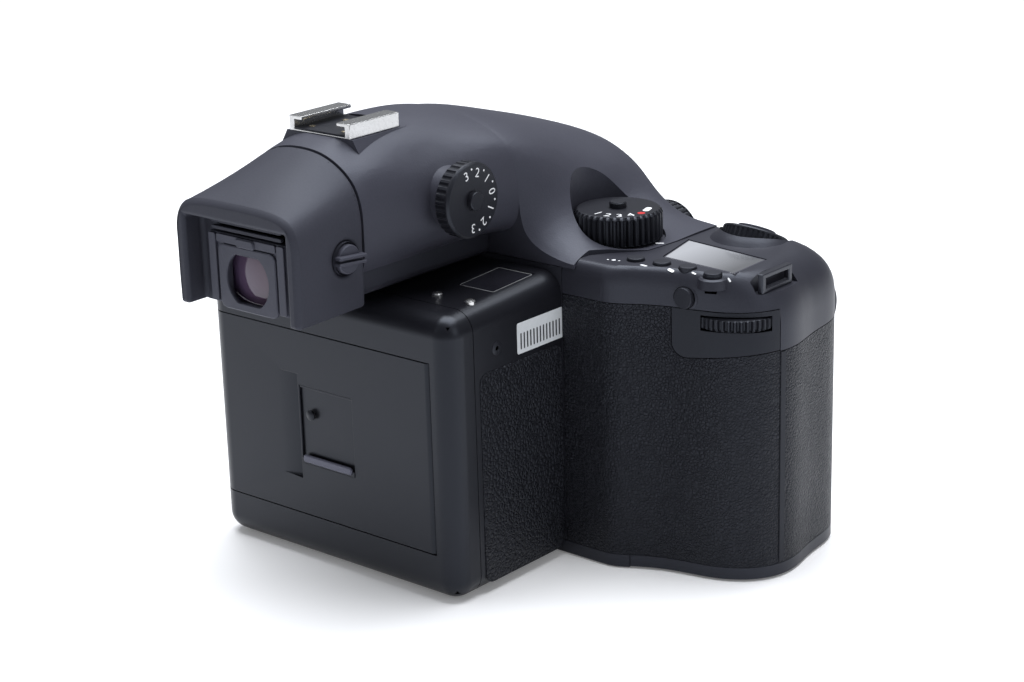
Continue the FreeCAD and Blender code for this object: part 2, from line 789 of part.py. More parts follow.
def deck_button(name, index, radius, low, high):
    """A round key or its hole on the sloping row along the rear edge of the deck."""
    bend = (index / 3) ** 3
    spot = (f"function_first_x+{index}*function_pitch_x",
            f"function_first_y+{index}*function_pitch_y-{bend:.4f}*function_bend",
            f"{low}-{bend:.4f}*function_drop")
    return rod(name, "Z", spot, f"({high})-({low})", radius)


seat_boss = common("seat_boss", deck_body, tilted_rod("seat_stem", "-6", "12", "seat_radius+slide_gap+wall"))
seat_room = tilted_rod("seat_room", "0", "20", "seat_radius+slide_gap")
button_bore = tilted_rod("button_bore", "-14", "20", "shutter_button_radius-1.4")


def display_plate(name, low, thickness, grow):
    """The four-cornered plate of the display, or the room cut for it when grown."""
    body = doc.addObject("PartDesign::Body", name)
    sketch = sketch_in(body, name + "_outline", "XY_Plane", low)
    draw_polygon(sketch, [
        (f"display_{corner}_x{x_sign}{grow}", f"display_{corner}_y{y_sign}{grow}")
        for corner, x_sign, y_sign in (("rear_left", "-", "-"), ("rear_right", "+", "-"),
                                       ("front_right", "+", "+"), ("front_left", "-", "+"))])
    pad(body, sketch, thickness)
    return body


display_foot = "deck_height-display_depth"
display_room = display_plate("display_room", display_foot, "display_depth*4", "seam")
lock_hole = rod("lock_hole", "Y", ("lock_x", "lock_face_y-1", "lock_z"), "lock_depth+3",
                "lock_radius+slide_gap/2")
key_holes = [deck_button(f"key_hole_{i}", i, "function_radius+slide_gap/2", "deck_height-wall*2",
                         "deck_height+1") for i in range(4)]


def lug_pocket(name, grow):
    """The pocket of the right strap lug, open upwards and outwards."""
    half = f"(lug_length/2+lug_recess+{grow})"
    return block(name, (f"lug_right_x-lug_bar/2-lug_recess-{grow}", OPEN),
                 (f"lug_y-{half}", f"lug_y+{half}"), (f"lug_right_z-{grow}", OPEN))


lug_boss = common("lug_boss", deck_body, lug_pocket("lug_wall", "wall"))
deck = cut("deck_cut", join("deck_with_seats", deck_skin, seat_boss, lug_boss), seat_room, button_bore,
           display_room, lock_hole, lug_pocket("lug_pocket", "0"), front_dial_slot, rear_dial_slot,
           *key_holes)
keep(deck, "grip_top_cover")
keep(display_plate("status_plate", display_foot, "display_depth-seam/2", "0"), "status_window")

# Chassis casting: mirror box with the flat frame that the magazine seats against
casting = join("casting",
               block("box_outer", ("-box_half_width", "box_half_width"), ("body_rear", "box_front"),
                     ("box_bottom", "box_top")),
               block("rear_frame", ("frame_left", "frame_right"), ("body_rear", "body_rear+frame_plate"),
                     ("base_top+seam", "frame_height")))
tunnel = block("tunnel", ("-tunnel_half_width", "tunnel_half_width"), ("shutter_front+slide_gap", OPEN),
               ("tunnel_bottom", "tunnel_top"))
shutter_room = block("shutter_room", ("-shutter_half_width-slide_gap", "shutter_half_width+slide_gap"),
                     ("shutter_rear-slide_gap", "shutter_front+slide_gap"), ("0", OPEN))
film_gate = block("film_gate", ("-gate_width/2-0.5", "gate_width/2+0.5"), (f"-{OPEN}", "shutter_front"),
                  ("lens_height-gate_height/2-1", "lens_height+gate_height/2+1"))
screen_gate = block("screen_gate", ("-screen_aperture", "screen_aperture"),
                    ("screen_rear+1.5", "screen_front-1.5"),
                    ("tunnel_top-1", OPEN))
pivot_hole = rod("pivot_hole", "X", ("-tunnel_half_width-2", "mirror_hinge_y", "mirror_hinge_z"),
                 "tunnel_half_width*2+4", "mirror_pivot_radius+running")
release_room = rod("release_room", "Y", ("release_x", "box_front-release_stroke-3", "release_z"), "12",
                   "release_radius+1")
socket_room = rod("socket_room", "Z", ("0", "0", "0"), "socket_depth", "socket_radius+running")
keep(cut("mirror_box_cut", casting, tunnel, shutter_room, film_gate, screen_gate, pivot_hole, release_room,
         socket_room), "mirror_box")

# Focal plane shutter: a flat case with two curtains of two blades
gate_low, gate_high = "lens_height-gate_height/2", "lens_height+gate_height/2"
shutter_case = cut("shutter_case",
                   block("case_outer", ("-shutter_half_width", "shutter_half_width"),
                         ("shutter_rear", "shutter_front"), ("shutter_bottom", "shutter_top")),
                   block("case_inner", ("-shutter_half_width+1", "shutter_half_width-1"),
                         ("shutter_rear+0.6", "shutter_front-0.8"),
                         ("shutter_bottom+0.5", "shutter_top-0.5")),
                   block("case_gate", ("-gate_width/2", "gate_width/2"), (f"-{OPEN}", OPEN),
                         (gate_low, gate_high)))
keep(shutter_case, "shutter_frame")
for i in range(4):
    curtain, step = ("front", i) if i < 2 else ("rear", i - 2)
    if curtain == "front":
        foot = f"lens_height-blade_height+blade_overlap/2+{step}*(blade_height-blade_overlap)"
    else:
        foot = "lens_height+blade_height-blade_overlap/2+0.1"
    layer = f"shutter_rear+0.9+{i}*blade_pitch+{1 if i > 1 else 0}*seam"
    blade = block(f"blade_{i}", ("-shutter_half_width+1.4", "shutter_half_width-1.4"),
                  (layer, f"{layer}+blade_thickness"), (foot, f"{foot}+blade_height"))
    keep(blade, f"{curtain}_blade_{step + 1}")


# Reflex mirror, drawn flat about its hinge and then turned down to its angle
def at_mirror_hinge(thing):
    """Puts a piece drawn flat about the hinge line in its place under the screen."""
    return place(thing, "0", "mirror_hinge_y", "mirror_hinge_z",
                 turn=Rotation(Vector(1, 0, 0), -value("mirror_angle")))


mirror_plate = block("mirror_plate", ("-mirror_half_width", "mirror_half_width"), ("0", "mirror_length"),
                     ("-mirror_frame_thickness", "0"))
mirror_tube = rod("mirror_tube", "X", ("-mirror_half_width-2", "0", "0"), "mirror_half_width*2+4",
                  "mirror_barrel")
mirror_pins = rod("mirror_pins", "X", ("-tunnel_half_width-1.8", "0", "0"), "tunnel_half_width*2+3.6",
                  "mirror_pivot_radius")
keep(at_mirror_hinge(join("mirror_carrier", mirror_plate, mirror_tube, mirror_pins)), "mirror_frame")

glass = doc.addObject("PartDesign::Body", "mirror_glass_body")
glass_sketch = sketch_in(glass, "mirror_glass_outline", "XY_Plane", "0.05")
draw_polygon(glass_sketch, [
    ("-mirror_half_width+1", "mirror_barrel+0.4"), ("mirror_half_width-1", "mirror_barrel+0.4"),
    ("mirror_half_width-1", "mirror_length-0.6"), ("-mirror_half_width+1", "mirror_length-0.6")])
pad(glass, glass_sketch, "mirror_glass_thickness")
keep(at_mirror_hinge(glass), "mirror_glass")

# Finder optics over the mirror box
screen = block("screen_plate", ("-screen_half_width", "screen_half_width"), ("screen_rear", "screen_front"),
               ("box_top", "box_top+screen_thickness"))
keep(screen, "focusing_screen")

prism = doc.addObject("PartDesign::Body", "prism_body")
prism_sketch = sketch_in(prism, "prism_profile", "YZ_Plane", "-prism_half_width")
prism_foot = "(box_top+screen_thickness+0.1)"
draw_polygon(prism_sketch, [
    ("screen_rear+1", prism_foot), ("screen_front-1", prism_foot),
    ("screen_front-1", f"{prism_foot}+prism_face_height"), ("prism_ridge_y", f"{prism_foot}+prism_height"),
    ("screen_rear+1", f"{prism_foot}+prism_back_height")])
pad(prism, prism_sketch, "prism_half_width*2")
keep(prism, "pentaprism")

# Prism housing: sections across the body, each a list of (x, height above the shoulder)
OVERHANG = {
    -51: [(0, 37.5), (8, 36.6), (14, 34), (19, 29.5), (21.3, 23), (21.5, 16), (21.5, 12), (20.2, 6.4)],
    -36: [(0, 40.4), (8, 39.8), (14.5, 37), (20, 32), (23, 26.2), (23.9, 19), (22.9, 12), (20.2, 6.4)],
    -21: [(0, 40.9), (9, 40.1), (15.5, 37.6), (20.8, 33), (24.8, 27.6), (26.6, 21), (25.6, 12.5),
          (20.2, 6.4)],
    -8: [(0, 40.4), (10, 39.4), (18, 36.4), (24.6, 32.3), (28, 26.5), (29.5, 19), (28, 11.5), (20.2, 6.6)],
    0: [(0, 39.2), (12, 37.7), (21, 34.9), (27, 31), (29.8, 25), (31, 18), (30, 11), (20.2, 7)],
}
FRONT = {
    0: [(0, 39.05), (12, 37.55), (20.9, 34.75), (26.9, 30.85), (29.6, 25), (31, 16), (33.5, 7), (40, 3),
        (50, 1.2), (64, 0.8)],
    10: [(0, 37.3), (12, 36), (21, 33.7), (29, 28.6), (33.5, 20.6), (37, 13.2), (41.5, 8.5), (48, 4.8),
         (56, 3), (64, 2.5)],
    20: [(0, 34.6), (12, 33.5), (21, 31.5), (29.5, 25.9), (35, 18.2), (39.5, 11.6), (44, 7.5), (49.5, 4.5),
         (56.5, 3), (64, 2.5)],
    32: [(0, 31.2), (12, 30.4), (21, 28.8), (29.5, 24), (35.5, 17.6), (40.5, 10.6), (45.5, 7), (51, 4.5),
         (57.5, 3.2), (64, 2.5)],
    44: [(0, 27.4), (12, 26.9), (20, 25.7), (28.5, 22.6), (35, 17.8), (41, 11.4), (46, 7.6), (51.5, 4.9),
         (58, 3.5), (64, 2.5)],
    50: [(0, 24.8), (11, 24.5), (19, 23.4), (27, 20.6), (34, 16.2), (40, 10.4), (45, 6.7), (50.5, 4.3),
         (57.5, 3.2), (64, 2.5)],
}


def drawn_in(points, inset):
    """The points of a half section moved inwards along their normals."""
    moved = []
    for i, (x, z) in enumerate(points):
        before = points[i - 1] if i else (-points[1][0], points[1][1])
        after = points[min(i + 1, len(points) - 1)]
        along_x, along_z = after[0] - before[0], after[1] - before[1]
        size = hypot(along_x, along_z)
        moved.append((x + along_z * inset / size, z - along_x * inset / size))
    return moved


def section_wire(points, y, floor, inset):
    """A closed section: the mirrored curve, straight flanks down to the floor, and the floor."""
    half = drawn_in(points, inset) if inset else points
    curve = [Vector(-x, y, z) for x, z in reversed(half[1:])] + [Vector(x, y, z) for x, z in half]
    crown = Part.BSplineCurve()
    crown.interpolate(curve)
    right, left = curve[-1], curve[0]
    low_right, low_left = Vector(right.x, y, floor), Vector(left.x, y, floor)
    return Part.Wire([crown.toShape(), Part.makeLine(right, low_right), Part.makeLine(low_right, low_left),
                      Part.makeLine(low_left, left)])


def housing_loft(sections, floor, inset):
    """A smooth solid through sections down to a floor, set back from both ends by the inset."""
    rear, shoulder = value("body_rear"), value("shoulder_height")
    first, last = min(sections), max(sections)
    shrink = (last - first - 2 * inset) / (last - first)
    wires = []
    for step, points in sorted(sections.items()):
        y = rear + first + inset + (step - first) * shrink if inset else rear + step
        heights = [(x, shoulder + rise) for x, rise in points]
        wires.append(section_wire(heights, y, floor, inset))
    return Part.makeLoft(wires, True, False)


wall_size = value("wall")
overhang = shaped("overhang_outer", housing_loft(OVERHANG, value("finder_seam"), 0))
overhang_room = shaped("overhang_room", housing_loft(OVERHANG, value("finder_seam-2"), wall_size))
bridge_room = block("bridge_room", ("-tube_half_width", "tube_half_width"),
                    ("hood_front-1", "body_rear+wall*2"), ("finder_seam-1", "plate_top+2"))
front_dome = common("front_dome", shaped("front_outer", housing_loft(FRONT, value("shoulder_height-0.1"), 0)),
                    plan_prism("dome_outline", "0", "shoulder_height", OPEN))
front_inner = shaped("front_inner", housing_loft(FRONT, value("shoulder_height-3"), wall_size))
front_room = common("front_room", front_inner,
                    plan_prism("room_outline", "wall", "0", OPEN))
plinth = doc.addObject("PartDesign::Body", "plinth")
plinth_sketch = sketch_in(plinth, "plinth_profile", "XZ_Plane", "-(shoe_rear+shoe_length+1.5)")
draw_polygon(plinth_sketch, [
    ("-plinth_half_width", "shoe_floor-9"), ("plinth_half_width", "shoe_floor-9"),
    ("shoe_half_width+1", "shoe_floor-shoe_sheet*2"), ("-shoe_half_width-1", "shoe_floor-shoe_sheet*2")])
pad(plinth, plinth_sketch, "shoe_length+1.5")
dial_boss = rod("dial_boss", "X", ("0", "comp_y", "comp_z"), "comp_wall_x-slide_gap", "comp_radius-2")
shoe_room = block("shoe_room", ("-shoe_half_width-seam", "shoe_half_width+seam"),
                  ("shoe_rear-2", "shoe_rear+shoe_length+seam"), ("shoe_floor-shoe_sheet*2", OPEN))
mode_room = rod("mode_room", "Z", ("mode_x", "mode_y", "deck_height"), "60", "mode_radius+seam*4")
dial_well = common("dial_well", front_dome,
                   rod("dial_well_rod", "Z", ("mode_x", "mode_y", "shoulder_height"), "60",
                       "mode_radius+seam*4+wall"))
deck_room = join("deck_room", deck_zone("deck_room_high", "seam"),
                 block("deck_room_low", ("grip_root_x+seam", OPEN), (f"-{OPEN}", OPEN),
                       ("0", "shoulder_height")))
shutter_top_room = block("shutter_top_room",
                         ("-shutter_half_width-slide_gap", "shutter_half_width+slide_gap"),
                         ("shutter_rear-slide_gap", "shutter_front+slide_gap"),
                         ("0", "shutter_top+slide_gap"))
comp_room = rod("comp_room", "X", ("comp_wall_x-slide_gap", "comp_y", "comp_z"), "30", "comp_radius+seam*3")
housing = join("housing", overhang, front_dome, plinth, dial_boss)
hollow_housing = cut("hollow_housing", housing, overhang_room, front_room, bridge_room)
top_cover = cut("top_cover_cut", join("housing_with_well", hollow_housing, dial_well), shoe_room, mode_room,
                deck_room, shutter_top_room, comp_room)
keep(top_cover, "top_cover")

floor_outer = block("finder_floor_outer", ("-finder_half_width", "finder_half_width"),
                    ("hood_front+seam", "body_rear-seam"), ("finder_floor", "finder_seam-seam/2"))
floor_shape = rounded("finder_floor_rounded", floor_outer, "finder_chamfer",
                      lambda edge: edge.BoundBox.ZMax < value("finder_floor") + 0.1
                      and edge.BoundBox.XLength < 0.1)
keep(cut("finder_floor_cut", floor_shape,
         block("finder_floor_room", ("-finder_half_width+wall", "finder_half_width-wall"),
               ("hood_front-1", "body_rear-wall"), ("finder_floor+wall*0.8", OPEN))), "finder_floor_cover")

# Eyecup hood: a rubber shell that flares towards the eye
HOOD_REAR = [(0, 29.9), (8, 29.8), (15, 29.2), (19.5, 27.6), (22, 24.1), (22.6, 18), (22.6, 6), (22.5, 2)]
HOOD_FRONT = [(0, 40.1), (8, 39.2), (14, 36.6), (19, 32.1), (21.3, 25.6), (21.5, 16), (21.5, 7), (21.3, 2)]


def hood_loft():
    """A solid from the softly broken rear rim to the seam with the prism housing."""
    edge = value("hood_edge")
    wires = []
    rear = value("hood_rear")
    for points, y, inset in ((HOOD_REAR, rear, edge), (HOOD_REAR, rear + edge * 0.3, edge * 0.3),
                             (HOOD_REAR, rear + edge, 0), (HOOD_FRONT, value("hood_front"), 0)):
        heights = [(x, value("hood_bottom") + rise) for x, rise in points]
        wires.append(section_wire(heights, y, value("hood_bottom"), inset))
    return Part.makeLoft(wires, True, True)


hood_recess = block("hood_recess", ("-hood_opening", "hood_opening"),
                    ("hood_rear-1", "plate_rear+plate_thickness"), ("hood_bottom-1", "hood_opening_top"))
hood_tube = block("hood_tube", ("-tube_half_width", "tube_half_width"), ("hood_rear", "hood_front+1"),
                  ("eye_height-lens_block_half_height-seam", "plate_top+2"))
diopter_room = rod("diopter_room", "X", ("diopter_wall_x", "diopter_y", "diopter_z"), "20",
                   "diopter_radius+slide_gap")
hood = cut("hood_cut", shaped("hood_outer", hood_loft()), hood_recess, hood_tube, diopter_room)
keep(hood, "eyecup_hood")

diopter_disc = turned("diopter_disc", [
    ("0", "0"), ("diopter_radius", "0"), ("diopter_radius", "diopter_height-0.4"),
    ("diopter_radius-0.4", "diopter_height"), ("0", "diopter_height")])
place(diopter_disc, "diopter_wall_x+slide_gap", "diopter_y", "diopter_z", turn=TURNS["X"])
diopter_bar = block("diopter_bar", ("diopter_wall_x+diopter_height", "diopter_wall_x+diopter_height*1.5"),
                    ("diopter_y-diopter_radius+0.4", "diopter_y+diopter_radius-0.4"),
                    ("diopter_z-diopter_radius/4", "diopter_z+diopter_radius/4"))
keep(join("diopter_joined", diopter_disc, diopter_bar), "diopter_knob")

# Eyepiece: frame plate with its window, and the lens block behind it
plate_span = ("plate_rear", "plate_rear+plate_thickness")
eye_hole = rounded("eye_hole", block("eye_block", ("-eye_half_width", "eye_half_width"),
                                     ("plate_rear-1", "plate_rear+plate_thickness+1"),
                                     ("eye_height-eye_half_height", "eye_height+eye_half_height")),
                   "eye_half_height*0.55", lambda edge: edge.BoundBox.YLength > 1)
plate = cut("eyepiece_plate", block("plate_block", ("-plate_half_width", "plate_half_width"), plate_span,
                                    ("plate_bottom", "plate_top")), eye_hole)
keep(plate, "eyepiece_frame")
lens_ball = doc.addObject("Part::Sphere", "lens_ball")
bind(lens_ball, Radius="lens_curve")
place(lens_ball, "0", "plate_rear+plate_thickness+seam/2+lens_curve", "eye_height")
lens_block = block("lens_block", ("-lens_block_half_width", "lens_block_half_width"),
                   ("plate_rear+plate_thickness", "plate_rear+plate_thickness+lens_thickness"),
                   ("eye_height-lens_block_half_height", "eye_height+lens_block_half_height"))
keep(common("lens_cut", lens_ball, lens_block), "eyepiece_lens")

# Hot shoe: a stamped channel with an insulating insert
shoe_y = ("shoe_rear", "shoe_rear+shoe_length")
channel = join(
    "shoe_channel",
    block("shoe_sheet_plate", ("-shoe_half_width", "shoe_half_width"), shoe_y,
          ("shoe_floor-shoe_sheet*2", "shoe_floor-shoe_sheet")),
    *[block(f"shoe_wall_{side}", span, shoe_y,
            ("shoe_floor-shoe_sheet*2", "shoe_floor+shoe_slot_height+shoe_lip"))
      for side, span in (("left", ("-shoe_half_width", "-shoe_slot_half_width")),
                         ("right", ("shoe_slot_half_width", "shoe_half_width")))],
    *[block(f"shoe_lip_{side}", span, shoe_y,
            ("shoe_floor+shoe_slot_height", "shoe_floor+shoe_slot_height+shoe_lip"))
      for side, span in (("left", ("-shoe_half_width", "-shoe_lip_half_width")),
                         ("right", ("shoe_lip_half_width", "shoe_half_width")))])
keep(channel, "hot_shoe_rails")
insert = block("shoe_insert", ("-shoe_slot_half_width+seam/2", "shoe_slot_half_width-seam/2"), shoe_y,
               ("shoe_floor-shoe_sheet", "shoe_floor"))
keep(insert, "hot_shoe_base")

# Lens mount ring with bayonet tabs, and its screws
ring = turned("mount_ring_body", [
    ("mount_inner", "0"), ("mount_outer", "0"), ("mount_outer", "flange_y-body_front-0.5"),
    ("mount_outer-0.5", "flange_y-body_front"), ("mount_inner", "flange_y-body_front")])
place(ring, "0", "body_front", "lens_height", turn=TURNS["Y"])
tabs = []
for i in range(int(value("mount_tab_count"))):
    tab = doc.addObject("Part::Cylinder", f"mount_tab_{i}")
    bind(tab, Radius="mount_inner+1", Height="mount_tab_depth", Angle="mount_tab_angle")
    turn = TURNS["Y"].multiply(Rotation(Vector(0, 0, 1), i * 360 / value("mount_tab_count") + 30))
    tabs.append(place(tab, "0", "flange_y-mount_tab_setback-mount_tab_depth", "lens_height", turn=turn))
tab_bore = rod("tab_bore", "Y", ("0", "0", "lens_height"), OPEN, "mount_tab_inner")
tab_ring = cut("tab_ring", join("tab_sectors", *tabs), tab_bore)
ring_holes = screw_ring("ring_screw_hole", "screw_shank+running", "body_front-1", "flange_y-body_front+2")
ring_sinks = screw_ring("ring_screw_sink", "screw_head+running", "flange_y-screw_head_depth-0.1", "5")
keep(cut("mount_ring_cut", join("mount_ring_joined", ring, tab_ring), *ring_holes, *ring_sinks),
     "lens_mount_ring")
heads = screw_ring("screw_heads", "screw_head", "flange_y-screw_head_depth-0.1", "screw_head_depth")
shanks = screw_ring("screw_shanks", "screw_shank", "body_front-wall+0.1",
                    "flange_y-screw_head_depth-body_front+wall-0.2")
screws = [join(f"mount_screw_{i}", head, shank) for i, (head, shank) in enumerate(zip(heads, shanks))]


def group(name, pieces):
    """Separate like solids that share one node."""
    thing = doc.addObject("Part::Compound", name)
    thing.Links = list(pieces)
    return thing


keep(group("screws_group", screws), "mount_screws")

# Controls on the front
release = join("release_joined",
               rod("release_cap", "Y", ("release_x", "body_front-wall-1", "release_z"),
                   "wall+1+release_stroke+1", "release_radius"),
               rod("release_rim", "Y", ("release_x", "body_front-wall-seam-1.2", "release_z"), "1.2",
                   "release_radius+0.5"))
keep(release, "lens_release_button")

knob = ribbed_wheel("mirror_up_wheel", "mirror_up_radius", "mirror_up_height", "mirror_up_ribs", "0")
place(knob, "mirror_up_x", "body_front+slide_gap", "mirror_up_z", turn=TURNS["Y"])
knob_shaft = rod("mirror_up_stem", "Y", ("mirror_up_x", "body_front-wall", "mirror_up_z"), "wall+slide_gap+1",
                 "mirror_up_shaft")
keep(join("mirror_up_joined", knob, knob_shaft), "mirror_up_knob")

front_wheel = ribbed_wheel("front_wheel", "front_dial_radius-slide_gap", "front_dial_width",
                           "front_dial_ribs",
                           "0")
place(front_wheel, "front_dial_x-front_dial_width/2",
      "nose_tip_y+front_dial_proud-front_dial_radius+slide_gap", "front_dial_z", turn=TURNS["X"])
keep(front_wheel, "front_dial")

# Shutter release: ribbed drive collar round the button
collar = ribbed_wheel("collar_wheel", "drive_radius", "drive_height", "drive_ribs", "drive_bore")
keep(on_release_axis(collar, "slide_gap"), "drive_ring")
keep(tilted_rod("release_button", "shutter_button_lift", "shutter_button_height", "shutter_button_radius"),
     "shutter_button")

# Mode dial and exposure compensation dial, each with a lock button in its bore
mode_wheel = ribbed_wheel("mode_wheel", "mode_radius", "mode_height", "mode_ribs",
                          "mode_button_radius+running", "0.6")
keep(place(mode_wheel, "mode_x", "mode_y", "deck_height+slide_gap"), "mode_dial")
keep(rod("mode_button", "Z", ("mode_x", "mode_y", "deck_height+slide_gap+mode_stroke+0.5"),
         "mode_height-mode_stroke-0.5+mode_button_height", "mode_button_radius"), "mode_dial_button")

comp_wheel = ribbed_wheel("comp_wheel", "comp_radius", "comp_height", "comp_ribs",
                          "comp_button_radius+running", "0.6")
keep(place(comp_wheel, "comp_wall_x", "comp_y", "comp_z", turn=TURNS["X"]), "compensation_dial")
keep(rod("comp_button", "X", ("comp_wall_x+comp_stroke+0.5", "comp_y", "comp_z"),
         "comp_height-comp_stroke-0.5+comp_button_height", "comp_button_radius"), "compensation_button")

# Rear dial, exposure lock and the row of function buttons
rear_wheel = ribbed_wheel("rear_wheel", "rear_dial_radius", "rear_dial_height", "rear_dial_ribs", "0")
keep(place(rear_wheel, "rear_dial_x", "rear_dial_y", "rear_dial_z"), "rear_dial")
keep(rod("lock_button", "Y", ("lock_x", "lock_face_y", "lock_z"), "lock_depth", "lock_radius"),
     "exposure_lock_button")
for i in range(4):
    keep(deck_button(f"key_{i}", i, "function_radius", "deck_height-wall", "deck_height+function_proud"),
         f"function_button_{i + 1}")

# Strap lugs on both shoulders
keep(group("lugs_group", [
    lug_plate("lug_right", "lug_right_x", "lug_right_z", 0),
    lug_plate("lug_left", "lug_left_x", "lug_left_z", -value("lug_tilt"))]), "strap_lugs")

# Battery case: six cells in a tray that ends in the foot of the grip
CELLS = [(column, line) for column in range(2) for line in range(3)]


def cell_rods(name, radius, low, length):
    """Upright rods at the six cell places."""
    return [rod(f"{name}_{column}_{line}", "Z",
                (f"cell_first_x+{column}*cell_column_x",
                 f"cell_first_y+{column}*cell_column_y+{line}*cell_pitch", low), length, radius)
            for column, line in CELLS]


cap_side = block("cap_side", ("cap_split_x+seam/2", OPEN), (f"-{OPEN}", OPEN), ("cap_lift", "base_top+1"))
cap_plate = common("cap_plate", base_plan, cap_side)
tray_solid = common("tray_solid", plan_prism("tray_outline", "tray_margin", "base_floor-0.5", "tray_height"),
                    block("tray_side", ("cap_split_x+seam/2", OPEN), (f"-{OPEN}", OPEN), ("0", OPEN)))
cell_bores = cell_rods("cell_bore", "cell_radius+cell_play", "tray_floor", OPEN)
knob_room = rod("knob_room", "Z", ("lock_knob_x", "lock_knob_y", "-1"), "lock_knob_recess+1",
                "lock_knob_radius+slide_gap")
knob_pin_room = rod("knob_pin_room", "Z", ("lock_knob_x", "lock_knob_y", "0"), "tray_floor-0.4",
                    "lock_knob_pin+running")
keep(cut("battery_tray_cut", join("battery_tray", cap_plate, tray_solid), knob_room, knob_pin_room,
         *cell_bores), "battery_case")
keep(group("cells_group", cell_rods("cell", "cell_radius", "tray_floor", "cell_length")), "battery_cells")

knob_disc = rod("knob_disc", "Z",
                ("lock_knob_x", "lock_knob_y", "lock_knob_recess-slide_gap-lock_knob_height"),
                "lock_knob_height", "lock_knob_radius")
knob_pin = rod("knob_pin", "Z", ("lock_knob_x", "lock_knob_y", "lock_knob_recess-1"),
               "tray_floor-0.7-lock_knob_recess+1", "lock_knob_pin")
coin_slot = block("coin_slot", ("lock_knob_x-lock_knob_radius+1", "lock_knob_x+lock_knob_radius-1"),
                  ("lock_knob_y-0.8", "lock_knob_y+0.8"), ("0", "lock_knob_recess-lock_knob_height+0.7"))
keep(cut("battery_lock_cut", join("battery_lock_joined", knob_disc, knob_pin), coin_slot), "battery_lock")

# Film magazine: one outer form, split into the housing, the rear cap and the door
magazine_front = "(body_rear-seam)"
magazine = doc.addObject("PartDesign::Body", "magazine_form")
magazine_sketch = sketch_in(magazine, "magazine_profile", "YZ_Plane", "magazine_left")
draw_polygon(magazine_sketch, [
    ("magazine_rear", "0"), (magazine_front, "0"), (magazine_front, "magazine_top_front"),
    ("magazine_rear", "magazine_top_rear")])
pad(magazine, magazine_sketch, "magazine_half_width-magazine_left")


def behind_front_face(edge):
    """Every edge of the magazine but the four round its front face."""
    return edge.BoundBox.YMin < value("body_rear") - 1


magazine_form = rounded("magazine_rounded", magazine, "magazine_edge", behind_front_face)
door_gap_top, door_gap_bottom = "door_top+seam", "door_bottom-seam"
wall_left, wall_right = "(magazine_left+magazine_wall)", "(magazine_half_width-magazine_wall)"
inner_rear = "magazine_rear+magazine_wall"
cavity = block("magazine_cavity", (wall_left, wall_right), (inner_rear, f"{magazine_front}-magazine_face"),
               ("magazine_wall", "magazine_top_rear-magazine_wall"))
rear_half = block("rear_half", (f"-{OPEN}", OPEN), (f"-{OPEN}", "magazine_split-seam/2"), ("-1", OPEN))
front_half = block("front_half", (f"-{OPEN}", OPEN), ("magazine_split+seam/2", OPEN), ("-1", OPEN))
door_room = block("door_room", (f"-{OPEN}", "door_right+seam"), (f"-{OPEN}", inner_rear + "+0.1"),
                  (door_gap_bottom, door_gap_top))
door_side_room = block("door_side_room", (f"-{OPEN}", wall_left + "+seam"), (f"-{OPEN}", "magazine_split"),
                       (door_gap_bottom, door_gap_top))
hinge_x, hinge_y = "door_right-door_barrel", "magazine_rear+door_barrel"
pin_low, pin_length = "door_bottom-2.6", "door_top-door_bottom+5.2"
cap_pin_room = rod("cap_pin_room", "Z", (hinge_x, hinge_y, pin_low), pin_length, "door_pin+0.02")
keep(cut("magazine_cap_cut", common("magazine_back", magazine_form, rear_half), cavity, door_room,
         door_side_room, cap_pin_room), "magazine_cap")
keep(rod("hinge_pin", "Z", (hinge_x, hinge_y, pin_low), pin_length, "door_pin"), "door_hinge_pin")

slot_y = ("dark_slide_y-dark_slide_thickness/2-slide_gap", "dark_slide_y+dark_slide_thickness/2+slide_gap")
slide_room = block("slide_room", (f"-{OPEN}", "gate_width/2+2"), slot_y,
                   ("lens_height-dark_slide_half_height-slide_gap",
                    "lens_height+dark_slide_half_height+slide_gap"))
film_window = block("film_window", ("-gate_width/2", "gate_width/2"), ("magazine_split", OPEN),
                    (gate_low, gate_high))


def magazine_top(y):
    """Height of the sloping top of the magazine at a depth."""
    slope = "(magazine_top_front-magazine_top_rear)/(body_rear-seam-magazine_rear)"
    return f"magazine_top_rear+(({y})-magazine_rear)*{slope}"


def top_wedge(name, x, y, below, above):
    """A piece let into the sloping top of the magazine."""
    body = doc.addObject("PartDesign::Body", name)
    sketch = sketch_in(body, name + "_profile", "YZ_Plane", x[0])
    tops = [magazine_top(end) for end in y]
    draw_polygon(sketch, [(y[0], f"{tops[0]}-{below}"), (y[1], f"{tops[1]}-{below}"),
                          (y[1], f"{tops[1]}+{above}"), (y[0], f"{tops[0]}+{above}")])
    pad(body, sketch, f"({x[1]})-({x[0]})")
    return body


pad_room = top_wedge("pad_room", ("pad_left-seam", "pad_right+seam"), ("pad_rear-seam", "pad_front+seam"),
                     "pad_depth", "5")
stud_foot = "magazine_top_rear-magazine_wall"
stud_rooms = [rod(f"stud_room_{i}", "Z", (x, "stud_y", stud_foot + "-1"), "9",
                  "stud_radius+running") for i, x in enumerate(("pad_left+1", "pad_right"))]
keep(cut("magazine_housing_cut", common("magazine_front_part", magazine_form, front_half), cavity, slide_room,
         film_window, pad_room, *stud_rooms), "magazine_housing")
keep(top_wedge("counter_window", ("pad_left", "pad_right"), ("pad_rear", "pad_front"), "pad_depth",
               "(-0.15)"),
     "magazine_window")
keep(group("studs_group", [rod(f"stud_{i}", "Z", (x, "stud_y", stud_foot),
                               f"{magazine_top('stud_y')}+stud_proud-({stud_foot})", "stud_radius")
                           for i, x in enumerate(("pad_left+1", "pad_right"))]), "magazine_pins")

